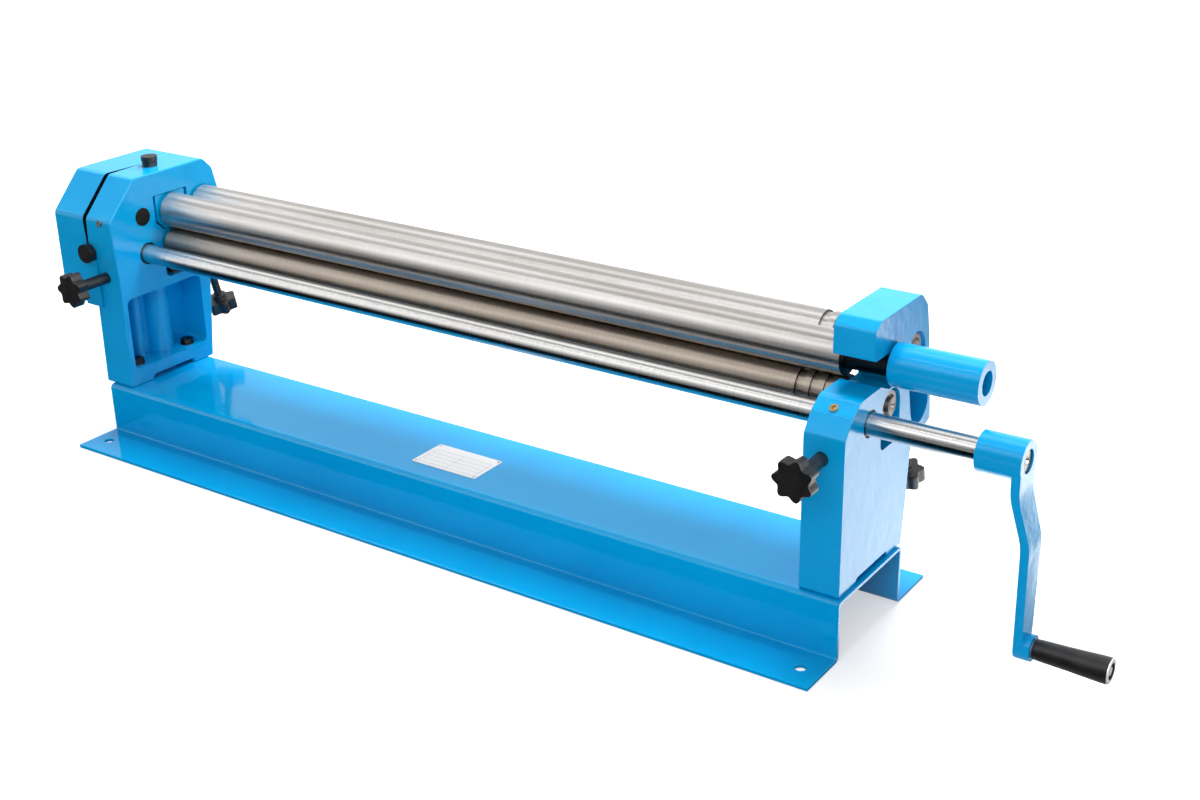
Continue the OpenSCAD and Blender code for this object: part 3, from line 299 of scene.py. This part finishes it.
def stand_in(node, body, material, rounds):
    """A rounded copy that stands for a node. rounds lists (width, pick, steps)."""
    obj = mesh_copy(node, node + "_form")
    for width, pick, steps in rounds:
        round_edges(obj, width, pick, steps)
    smooth(obj)
    dress(obj, material)
    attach(obj, body)
    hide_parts(node)


# Edges to round

def any_edge(edge):
    """Picks every edge."""
    return True


def edge_middle(edge):
    """The place of the edge's middle."""
    return (edge.verts[0].co + edge.verts[1].co) / 2


def on_outline(edge):
    """True where a face across X meets a side face that isn't in a slot, bore or pocket."""
    faces = [face for face in edge.link_faces if abs(face.normal.x) > ACROSS_X]
    sides = [face for face in edge.link_faces if abs(face.normal.x) < ALONG_X]
    return bool(faces and sides) and not in_hole(edge_middle(edge), sides[0].normal)


def outline_pick(*planes):
    """Picks the edges of a casting's outline on the given planes across X."""
    def pick(edge):
        x = edge_middle(edge).x
        return any(abs(x - plane) < ON_PLANE for plane in planes) and on_outline(edge)

    return pick


def seam_pick(edge):
    """Picks the edges of the outline at the gap between the housing and its cover."""
    return SEAM_LOW < edge_middle(edge).x < SEAM_HIGH and on_outline(edge)


def in_hole(point, normal):
    """True where a side face looks into a slot, bore or pocket."""
    inner = point + normal * PROBE
    return in_cut(inner.y, inner.z)


def in_cut(y, z):
    """True for a place in a slot, bore or pocket that opens in a casting's side."""
    if abs(y - UPPER_Y) < FRONT_SLOT_HALF and FRONT_SLOT_FOOT < z < FRONT_SLOT_TOP:
        return True
    behind, above = y - REAR_Y, z - REAR_Z
    down = behind * math.sin(REAR_SLOT_LEAN) - above * math.cos(REAR_SLOT_LEAN)
    across = behind * math.cos(REAR_SLOT_LEAN) + above * math.sin(REAR_SLOT_LEAN)
    if abs(across) < REAR_SLOT_HALF and -REAR_SLOT_HALF < down < REAR_SLOT_REACH:
        return True
    if math.hypot(y - DRIVE_Y, z - DRIVE_Z) < DRIVE_BORE_RADIUS:
        return True
    if math.hypot(y - IDLER_Y, z - IDLER_Z) < IDLER_BORE_RADIUS:
        return True
    return POCKET_FRONT < y < POCKET_REAR and POCKET_FOOT < z < POCKET_TOP


# Shader nodes

def new_material(name):
    """A material with one shader, as its material, node tree and shader."""
    material = bpy.data.materials.new(name)
    material.use_nodes = True
    tree = material.node_tree
    tree.nodes.clear()
    out = add_node(tree, "ShaderNodeOutputMaterial")
    shader = add_node(tree, "ShaderNodeBsdfPrincipled")
    tree.links.new(shader.outputs["BSDF"], out.inputs["Surface"])
    return material, tree, shader


def add_node(tree, kind, **values):
    made = tree.nodes.new(kind)
    for key, value in values.items():
        setattr(made, key, value)
    return made


def feed(tree, socket, value):
    """Links an output to the socket, or gives it a colour or a number."""
    if isinstance(value, bpy.types.NodeSocket):
        tree.links.new(value, socket)
    elif isinstance(value, tuple):
        socket.default_value = (*value, 1)
    else:
        socket.default_value = value


def parts_of(tree, vector):
    """The X, Y and Z of a vector."""
    split = add_node(tree, "ShaderNodeSeparateXYZ")
    tree.links.new(vector, split.inputs[0])
    return split.outputs


def place_along(tree, axis):
    """The place on the object along the axis, which is 0, 1 or 2."""
    return parts_of(tree, add_node(tree, "ShaderNodeTexCoord").outputs["Object"])[axis]


def facing(tree, axis):
    """How far the surface faces along the axis, from -1 to 1."""
    return parts_of(tree, add_node(tree, "ShaderNodeTexCoord").outputs["Normal"])[axis]


def object_coords(tree, scale=(1, 1, 1)):
    coords = add_node(tree, "ShaderNodeTexCoord")
    mapping = add_node(tree, "ShaderNodeMapping")
    mapping.inputs["Scale"].default_value = scale
    tree.links.new(coords.outputs["Object"], mapping.inputs["Vector"])
    return mapping.outputs["Vector"]


def noise(tree, vector, scale, detail=3, rough=0.5):
    made = add_node(tree, "ShaderNodeTexNoise")
    made.inputs["Scale"].default_value = scale
    made.inputs["Detail"].default_value = detail
    made.inputs["Roughness"].default_value = rough
    tree.links.new(vector, made.inputs["Vector"])
    return made.outputs["Fac"]


def ramp(tree, value, stops):
    """A colour ramp. stops lists (place, colour) pairs."""
    made = add_node(tree, "ShaderNodeValToRGB")
    elements = made.color_ramp.elements
    while len(elements) < len(stops):
        elements.new(0.5)
    for element, (place, colour) in zip(elements, stops):
        element.position = place
        element.color = (*colour, 1)
    tree.links.new(value, made.inputs["Fac"])
    return made.outputs["Color"]


def grey_ramp(tree, value, low, high, stops):
    """A number that follows stops of (place, number) while the value runs from low to high."""
    made = add_node(tree, "ShaderNodeMapRange")
    made.inputs["From Min"].default_value = low
    made.inputs["From Max"].default_value = high
    tree.links.new(value, made.inputs["Value"])
    top = max(number for _, number in stops)
    shares = [((place - low) / (high - low), (number / top,) * 3) for place, number in stops]
    return math_node(tree, "MULTIPLY", ramp(tree, made.outputs["Result"], shares), top)


def spread(tree, value, low, high):
    """The value from 0..1 spread over low..high."""
    made = add_node(tree, "ShaderNodeMapRange")
    made.inputs["To Min"].default_value = low
    made.inputs["To Max"].default_value = high
    tree.links.new(value, made.inputs["Value"])
    return made.outputs["Result"]


def step(tree, value, edge, width):
    """0 below the edge and 1 above it, over the width."""
    made = add_node(tree, "ShaderNodeMapRange", interpolation_type="SMOOTHSTEP")
    made.inputs["From Min"].default_value = edge - width / 2
    made.inputs["From Max"].default_value = edge + width / 2
    tree.links.new(value, made.inputs["Value"])
    return made.outputs["Result"]


def bump(tree, height, strength, distance, under=None):
    made = add_node(tree, "ShaderNodeBump")
    made.inputs["Strength"].default_value = strength
    made.inputs["Distance"].default_value = distance
    tree.links.new(height, made.inputs["Height"])
    if under is not None:
        tree.links.new(under, made.inputs["Normal"])
    return made.outputs["Normal"]


def math_node(tree, kind, first, second=0):
    made = add_node(tree, "ShaderNodeMath", operation=kind)
    for socket, value in zip(made.inputs, (first, second)):
        feed(tree, socket, value)
    return made.outputs[0]


def between(tree, value, low, high):
    """1 where the value lies between low and high, otherwise 0."""
    above = math_node(tree, "GREATER_THAN", value, low)
    return math_node(tree, "MULTIPLY", above, math_node(tree, "LESS_THAN", value, high))


def mix_colour(tree, factor, first, second, blend="MIX"):
    made = add_node(tree, "ShaderNodeMix", data_type="RGBA", blend_type=blend)
    feed(tree, made.inputs[MIX_FACTOR], factor)
    feed(tree, made.inputs[MIX_FIRST], first)
    feed(tree, made.inputs[MIX_SECOND], second)
    return made.outputs[MIX_RESULT]


def mix_shader(tree, factor, first, second):
    made = add_node(tree, "ShaderNodeMixShader")
    for socket, value in zip(made.inputs, (factor, first, second)):
        tree.links.new(value, socket)
    return made.outputs[0]


# Materials

def paint_colour(tree, vector):
    """Blue in soft broad shades, with a few worn specks."""
    shades = noise(tree, vector, scale=7, detail=2)
    blue = ramp(tree, shades, [(0.3, BLUE_DEEP), (0.5, BLUE), (0.7, BLUE_PALE)])
    specks = noise(tree, vector, scale=900, detail=2, rough=0.6)
    worn = ramp(tree, specks, [(0.735, BLACK), (0.76, WHITE)])
    return mix_colour(tree, math_node(tree, "MULTIPLY", worn, WORN_SHARE), blue, WORN_BLUE)


def seam_shade_mask(tree, side):
    """1 on the faces in the gap that look along X to the side, which is -1 or 1. These faces get the
    gap's painted shade.
    """
    x = place_along(tree, 0)
    past_low = step(tree, x, SEAM_LOW, BLUR)
    before_high = math_node(tree, "SUBTRACT", 1, step(tree, x, SEAM_HIGH, BLUR))
    above_foot = step(tree, place_along(tree, 2), SEAM_FOOT, BLUR)
    inside = math_node(tree, "MULTIPLY", math_node(tree, "MULTIPLY", past_low, before_high), above_foot)
    turned = step(tree, math_node(tree, "MULTIPLY", facing(tree, 0), side), SEAM_FACING, NORMAL_BLUR)
    return math_node(tree, "MULTIPLY", inside, turned)


def paint_material(name, uneven, seam=None):
    """Glossy blue enamel. uneven tells from 0 to 1 how rough the metal under it is.

    seam is the side, -1 or 1, to which the faces in the gap look along X. The shade in the gap is painted
    on those faces as near black.
    """
    material, tree, shader = new_material(name)
    vector = object_coords(tree)
    colour = paint_colour(tree, vector)
    if seam is not None:
        # Painted shade: the faces inside the gap between the housing and its cover are coloured near
        # black
        colour = mix_colour(tree, seam_shade_mask(tree, seam), colour, SEAM_SHADE_BLACK)
    feed(tree, shader.inputs["Base Color"], colour)
    gloss = noise(tree, vector, scale=34, detail=4, rough=0.6)
    low = ENAMEL_ROUGH + CAST_ROUGH * uneven
    high = low + ENAMEL_RANGE + CAST_RANGE * uneven
    feed(tree, shader.inputs["Roughness"], spread(tree, gloss, low, high))
    shader.inputs["IOR"].default_value = ENAMEL_IOR
    peel = bump(tree, noise(tree, vector, scale=420, detail=2), strength=0.05, distance=0.0006)
    waves = noise(tree, vector, scale=38, rough=0.55)
    strength = ENAMEL_LUMPS + CAST_LUMPS * uneven
    lumps = bump(tree, waves, strength, distance=0.0016, under=peel)
    feed(tree, shader.inputs["Normal"], lumps)
    return material


def steel_material(name, tones, rough, grain=None, end_tone=END_TONE, metallic=1, black_from=None):
    """Steel with fine marks of an even grain or, without one, turned round the X axis.

    rough is the range of its roughness and end_tone colours its faces across X. Beyond
    black_from along X it is black.
    """
    material, tree, shader = new_material(name)
    marks_scale = TURNED_GRAIN if grain is None else (grain, grain, grain)
    fine = noise(tree, object_coords(tree, marks_scale), scale=1, rough=0.65)
    broad = noise(tree, object_coords(tree, SHADE_GRAIN), scale=1, rough=0.55)
    dark, middle, light = tones
    colour = ramp(tree, broad, [(0.25, dark), (0.5, middle), (0.75, light)])
    ends = step(tree, math_node(tree, "ABSOLUTE", facing(tree, 0)), END_FACING, NORMAL_BLUR)
    colour = mix_colour(tree, ends, colour, end_tone)
    marks = ramp(tree, fine, [(0.3, TOOL_MARK), (0.6, WHITE)])
    colour = mix_colour(tree, MARK_SHARE, colour, marks, blend="MULTIPLY")
    if black_from is not None:
        black = step(tree, place_along(tree, 0), black_from, BLACK_BLUR)
        colour = mix_colour(tree, black, colour, JOURNAL_BLACK)
    feed(tree, shader.inputs["Base Color"], colour)
    feed(tree, shader.inputs["Roughness"], spread(tree, fine, *rough))
    shader.inputs["Metallic"].default_value = metallic
    if grain is None:
        round_x = add_node(tree, "ShaderNodeTangent", direction_type="RADIAL", axis="X")
        tree.links.new(round_x.outputs[0], shader.inputs["Tangent"])
        shader.inputs["Anisotropic"].default_value = SHINE_STRETCH
        shader.inputs["Anisotropic Rotation"].default_value = SHINE_TURN
    feed(tree, shader.inputs["Normal"], bump(tree, fine, strength=0.06, distance=0.00006))
    return material


def plastic_material(name, rim_from=None):
    """Black moulded plastic. Beyond rim_from along X its outer face is bright steel."""
    material, tree, shader = new_material(name)
    vector = object_coords(tree)
    broad = noise(tree, vector, scale=60)
    colour = ramp(tree, broad, [(0.3, PLASTIC_BLACK), (0.75, PLASTIC_GREY)])
    if rim_from is not None:
        outward = step(tree, facing(tree, 0), RIM_FACING, NORMAL_BLUR)
        rim = math_node(tree, "MULTIPLY", outward, step(tree, place_along(tree, 0), rim_from, BLUR))
        steel = ramp(tree, noise(tree, vector, scale=500, rough=0.6), [(0.3, RIM_DARK), (0.7, RIM_LIGHT)])
        colour = mix_colour(tree, rim, colour, steel)
        feed(tree, shader.inputs["Metallic"], math_node(tree, "MULTIPLY", rim, RIM_METALLIC))
    feed(tree, shader.inputs["Base Color"], colour)
    feed(tree, shader.inputs["Roughness"], spread(tree, broad, 0.3, 0.46))
    texture = noise(tree, vector, scale=700, rough=0.6)
    feed(tree, shader.inputs["Normal"], bump(tree, texture, strength=0.12, distance=0.0002))
    return material


def alloy_material(name, colour):
    """Brass or bronze."""
    material, tree, shader = new_material(name)
    vector = object_coords(tree)
    tint = noise(tree, vector, scale=180, rough=0.6)
    darker = tuple(part * 0.6 for part in colour)
    feed(tree, shader.inputs["Base Color"], ramp(tree, tint, [(0.3, darker), (0.65, colour)]))
    feed(tree, shader.inputs["Roughness"], spread(tree, tint, 0.18, 0.34))
    shader.inputs["Metallic"].default_value = 1
    texture = noise(tree, vector, scale=1400)
    feed(tree, shader.inputs["Normal"], bump(tree, texture, strength=0.1, distance=0.0001))
    return material


def plate_grid(tree):
    """1 on the lines of the plate's empty grid, otherwise 0."""
    x = place_along(tree, 0)
    y = place_along(tree, 1)
    rows = [PLATE_LO.y + (PLATE_HI.y - PLATE_LO.y) * share for share in PLATE_ROWS]
    columns = [PLATE_LO.x + (PLATE_HI.x - PLATE_LO.x) * share for share in PLATE_COLUMNS]
    marks = [between(tree, y, row - LINE_HALF, row + LINE_HALF) for row in rows]
    marks += [between(tree, x, column - LINE_HALF, column + LINE_HALF) for column in columns]
    lines = marks[0]
    for mark in marks[1:]:
        lines = math_node(tree, "MAXIMUM", lines, mark)
    inside_x = between(tree, x, columns[0] - GRID_EDGE, columns[-1] + GRID_EDGE)
    inside_y = between(tree, y, rows[0] - GRID_EDGE, rows[-1] + GRID_EDGE)
    return math_node(tree, "MULTIPLY", lines, math_node(tree, "MULTIPLY", inside_x, inside_y))


def plate_material(name):
    """Bare silver foil with an empty grid of thin printed lines."""
    material, tree, shader = new_material(name)
    brushed = noise(tree, object_coords(tree, FOIL_GRAIN), scale=1, rough=0.6)
    foil = ramp(tree, brushed, [(0.3, FOIL_DARK), (0.7, FOIL_LIGHT)])
    ink = math_node(tree, "MULTIPLY", plate_grid(tree), INK_SHARE)
    feed(tree, shader.inputs["Base Color"], mix_colour(tree, ink, foil, INK))
    shader.inputs["Metallic"].default_value = FOIL_METALLIC
    feed(tree, shader.inputs["Roughness"], spread(tree, brushed, 0.3, 0.42))
    return material


MATERIALS = {
    "cast_paint": paint_material("blue_cast_paint", CAST),
    "housing_paint": paint_material("blue_housing_paint", CAST, seam=-1),
    "cover_paint": paint_material("blue_cover_paint", CAST, seam=1),
    "sheet_paint": paint_material("blue_sheet_paint", SHEET),
    "upper_roll": steel_material("upper_roll_steel", ROLL_TONES, ROLL_ROUGH, black_from=BLACK_FROM),
    "rear_roll": steel_material("rear_roll_steel", ROLL_TONES, ROLL_ROUGH),
    "lower_roll": steel_material("worn_roll_steel", WORN_TONES, ROLL_ROUGH),
    "shaft": steel_material("shaft_steel", SHAFT_TONES, SHAFT_ROUGH),
    "ground": steel_material("ground_steel", SHAFT_TONES, (0.22, 0.4), grain=300),
    "zinc": steel_material(
        "zinc_steel", ZINC_TONES, (0.3, 0.45), grain=500, end_tone=ZINC_TONES[1],
        metallic=ZINC_METALLIC),
    "black_steel": steel_material(
        "black_steel", BLACK_STEEL_TONES, (0.32, 0.5), grain=260, end_tone=BLACK_STEEL_TONES[1]),
    "gear": steel_material("gear_steel", GEAR_TONES, (0.3, 0.45), grain=400),
    "bronze": alloy_material("bearing_bronze", BRONZE),
    "brass": alloy_material("oiler_brass", BRASS),
    "black_plastic": plastic_material("black_plastic"),
    "grip": plastic_material("grip_plastic", rim_from=RIM_FROM),
    "plate": plate_material("plate_foil"),
}

# CAD nodes that are shown as they are, by material
NODE_LOOKS = {
    "cast_paint": "swivel_block lower_block_left lower_block_right rear_block_left "
                  "rear_block_right",
    "upper_roll": "upper_roll",
    "rear_roll": "rear_roll",
    "lower_roll": "lower_roll",
    "shaft": "drive_shaft",
    "ground": "lower_cups rear_cups housing_oiler plate_rivets pinion_key crank_key "
              "upper_key lower_key",
    "zinc": "grip_spindle grip_ring",
    # shaft_bush_left and shaft_bush_right are black steel, and also painted shade: their black stands for
    # the shaded gap where the shaft enters the castings
    "black_steel": "casting_washers shaft_bush_left shaft_bush_right journal_collar idler_axle "
                   "idler_ring casting_bolts casting_nuts cover_screws crank_screw handle_screw "
                   "pinion_ring upper_ring lower_ring front_wedge_left front_wedge_right",
    "gear": "lower_cages rear_cages drive_pinion idler_gear upper_gear lower_gear",
    "bronze": "swivel_bush idler_bush",
    "brass": "stand_oiler",
    "black_plastic": "grease_plug swivel_pin",
    "grip": "crank_grip",
    "plate": "rating_plate",
}


def dress(obj, material):
    obj.data.materials.clear()
    obj.data.materials.append(material)


def dress_node(name, material):
    """Gives a CAD node its material through its object's own slots."""
    for slot in NODES[name].material_slots:
        slot.link = "OBJECT"
        slot.material = material


# Pieces

def dress_nodes():
    for look, names in NODE_LOOKS.items():
        for name in names.split():
            dress_node(name, MATERIALS[look])


def make_castings():
    stand_in("gear_housing", "frame", MATERIALS["housing_paint"], [
        (OUTLINE_ROUND, outline_pick(HOUSING_HI.x), 4),
        (SEAM_ROUND, seam_pick, 2),
        (HOUSING_ROUND, any_edge, 1),
    ])
    stand_in("gear_cover", "frame", MATERIALS["cover_paint"], [
        (OUTLINE_ROUND, outline_pick(COVER_LO.x), 4),
        (SEAM_ROUND, seam_pick, 2),
        (COVER_ROUND, any_edge, 1),
    ])
    stand_in("right_stand", "frame", MATERIALS["cast_paint"], [
        (OUTLINE_ROUND, outline_pick(STAND_LO.x, STAND_HI.x), 4),
        (STAND_ROUND, any_edge, 1),
    ])


def make_painted_parts():
    paint = MATERIALS["cast_paint"]
    sheet = MATERIALS["sheet_paint"]
    stand_in("crank_arm", "crank", paint, [(ARM_ROUND, any_edge, 3)])
    stand_in("roll_handle", "top_roll", paint, [(HANDLE_ROUND, any_edge, 2)])
    stand_in("base_channel", "frame", sheet, [(SHEET_ROUND, any_edge, 1)])


def make_knobs():
    plastic = MATERIALS["black_plastic"]
    for place in ("front", "rear"):
        for side in ("left", "right"):
            stand_in(f"{place}_knob_{side}", f"{side}_{place}_knob", plastic,
                     [(KNOB_ROUND, any_edge, 3)])


# Stage

def make_camera():
    data = bpy.data.cameras.new("camera")
    data.lens = CAMERA_LENS
    data.sensor_width = CAMERA_SENSOR
    data.clip_start = CAMERA_NEAR
    camera = bpy.data.objects.new("camera", data)
    bpy.context.scene.collection.objects.link(camera)
    turn = Matrix((CAMERA_RIGHT, -CAMERA_DOWN, -CAMERA_FORWARD)).transposed().to_4x4()
    turn.translation = CAMERA_PLACE
    camera.matrix_world = turn
    bpy.context.scene.camera = camera


def floor_lift(tree, place):
    """The light that the paper adds for the camera, so that it ends up white."""
    distance = add_node(tree, "ShaderNodeVectorMath", operation="LENGTH")
    tree.links.new(place, distance.inputs[0])
    return grey_ramp(tree, distance.outputs["Value"], low=0, high=4, stops=FLOOR_LIFT)


def floor_bands(tree, place):
    """What mirrors see in place of the paper."""
    x, y, _ = parts_of(tree, place)
    across = math_node(tree, "SUBTRACT", x, math_node(tree, "MULTIPLY", y, FLOOR_SLANT))
    behind = grey_ramp(tree, across, low=-2, high=2, stops=FLOOR_BEHIND)
    card = grey_ramp(tree, across, low=-2, high=2, stops=FLOOR_CARD)
    card = math_node(tree, "MULTIPLY", card, step(tree, x, CARD_FROM, CARD_BLUR))
    rear_half = step(tree, y, BEHIND_FROM, BEHIND_BLUR)
    rear = math_node(tree, "MULTIPLY", math_node(tree, "ADD", behind, card), rear_half)
    front = grey_ramp(tree, y, low=-6, high=0, stops=FLOOR_FRONT)
    return math_node(tree, "ADD", rear, front)


def floor_material(name):
    """Paper that the camera sees white. Mirrors see bands in its place."""
    material, tree, shader = new_material(name)
    feed(tree, shader.inputs["Base Color"], FLOOR_GREY)
    shader.inputs["Roughness"].default_value = FLOOR_ROUGH
    shader.inputs["Specular IOR Level"].default_value = 0
    feed(tree, shader.inputs["Emission Color"], WHITE)
    place = add_node(tree, "ShaderNodeNewGeometry").outputs["Position"]
    ray = add_node(tree, "ShaderNodeLightPath").outputs
    lift = math_node(tree, "MULTIPLY", floor_lift(tree, place), ray["Is Camera Ray"])
    feed(tree, shader.inputs["Emission Strength"], lift)
    glow = add_node(tree, "ShaderNodeEmission")
    feed(tree, glow.inputs["Strength"], floor_bands(tree, place))
    surface = mix_shader(tree, ray["Is Glossy Ray"], shader.outputs[0], glow.outputs[0])
    out = next(made for made in tree.nodes if made.type == "OUTPUT_MATERIAL")
    tree.links.new(surface, out.inputs["Surface"])
    return material


def make_floor():
    mesh = bpy.data.meshes.new("floor")
    corners = [
        (-FLOOR_HALF, -FLOOR_HALF, 0), (FLOOR_HALF, -FLOOR_HALF, 0),
        (FLOOR_HALF, FLOOR_HALF, 0), (-FLOOR_HALF, FLOOR_HALF, 0),
    ]
    mesh.from_pydata(corners, [], [(0, 1, 2, 3)])
    floor = bpy.data.objects.new("floor", mesh)
    bpy.context.scene.collection.objects.link(floor)
    dress(floor, floor_material("floor_paper"))


def background(tree, strength):
    made = add_node(tree, "ShaderNodeBackground")
    feed(tree, made.inputs["Color"], WHITE)
    feed(tree, made.inputs["Strength"], strength)
    return made.outputs[0]


def room_bands(tree):
    """What mirrors see in place of the white backdrop."""
    x, y, _ = parts_of(tree, add_node(tree, "ShaderNodeTexCoord").outputs["Generated"])
    room = grey_ramp(tree, y, low=-1, high=1, stops=ROOM)
    side = math_node(tree, "MULTIPLY", step(tree, x, SIDE_FROM, SIDE_BLUR), SIDE_CARD)
    return math_node(tree, "ADD", room, side)


def make_world():
    world = bpy.data.worlds.new("studio")
    bpy.context.scene.world = world
    world.use_nodes = True
    tree = world.node_tree
    tree.nodes.clear()
    out = add_node(tree, "ShaderNodeOutputWorld")
    ray = add_node(tree, "ShaderNodeLightPath").outputs
    seen = background(tree, BACKDROP)
    mirrored = background(tree, room_bands(tree))
    lit = background(tree, WORLD_LIGHT)
    shiny = math_node(tree, "MAXIMUM", ray["Is Glossy Ray"], ray["Is Transmission Ray"])
    unseen = mix_shader(tree, shiny, lit, mirrored)
    surface = mix_shader(tree, ray["Is Camera Ray"], unseen, seen)
    tree.links.new(surface, out.inputs["Surface"])


def area_light(name, place, target, width, height, power):
    """A lamp that lights the machine but isn't mirrored in it."""
    data = bpy.data.lights.new(name, "AREA")
    data.shape = "RECTANGLE"
    data.size = width
    data.size_y = height
    data.energy = power
    light = bpy.data.objects.new(name, data)
    bpy.context.scene.collection.objects.link(light)
    light.location = place
    light.visible_glossy = False
    light.rotation_euler = (Vector(target) - Vector(place)).to_track_quat("-Z", "Y").to_euler()


def make_lights():
    for lamp in LAMPS:
        area_light(*lamp)


make_camera()
dress_nodes()
make_castings()
make_painted_parts()
make_knobs()
make_floor()
make_world()
make_lights()
bpy.context.scene.view_settings.view_transform = "Standard"
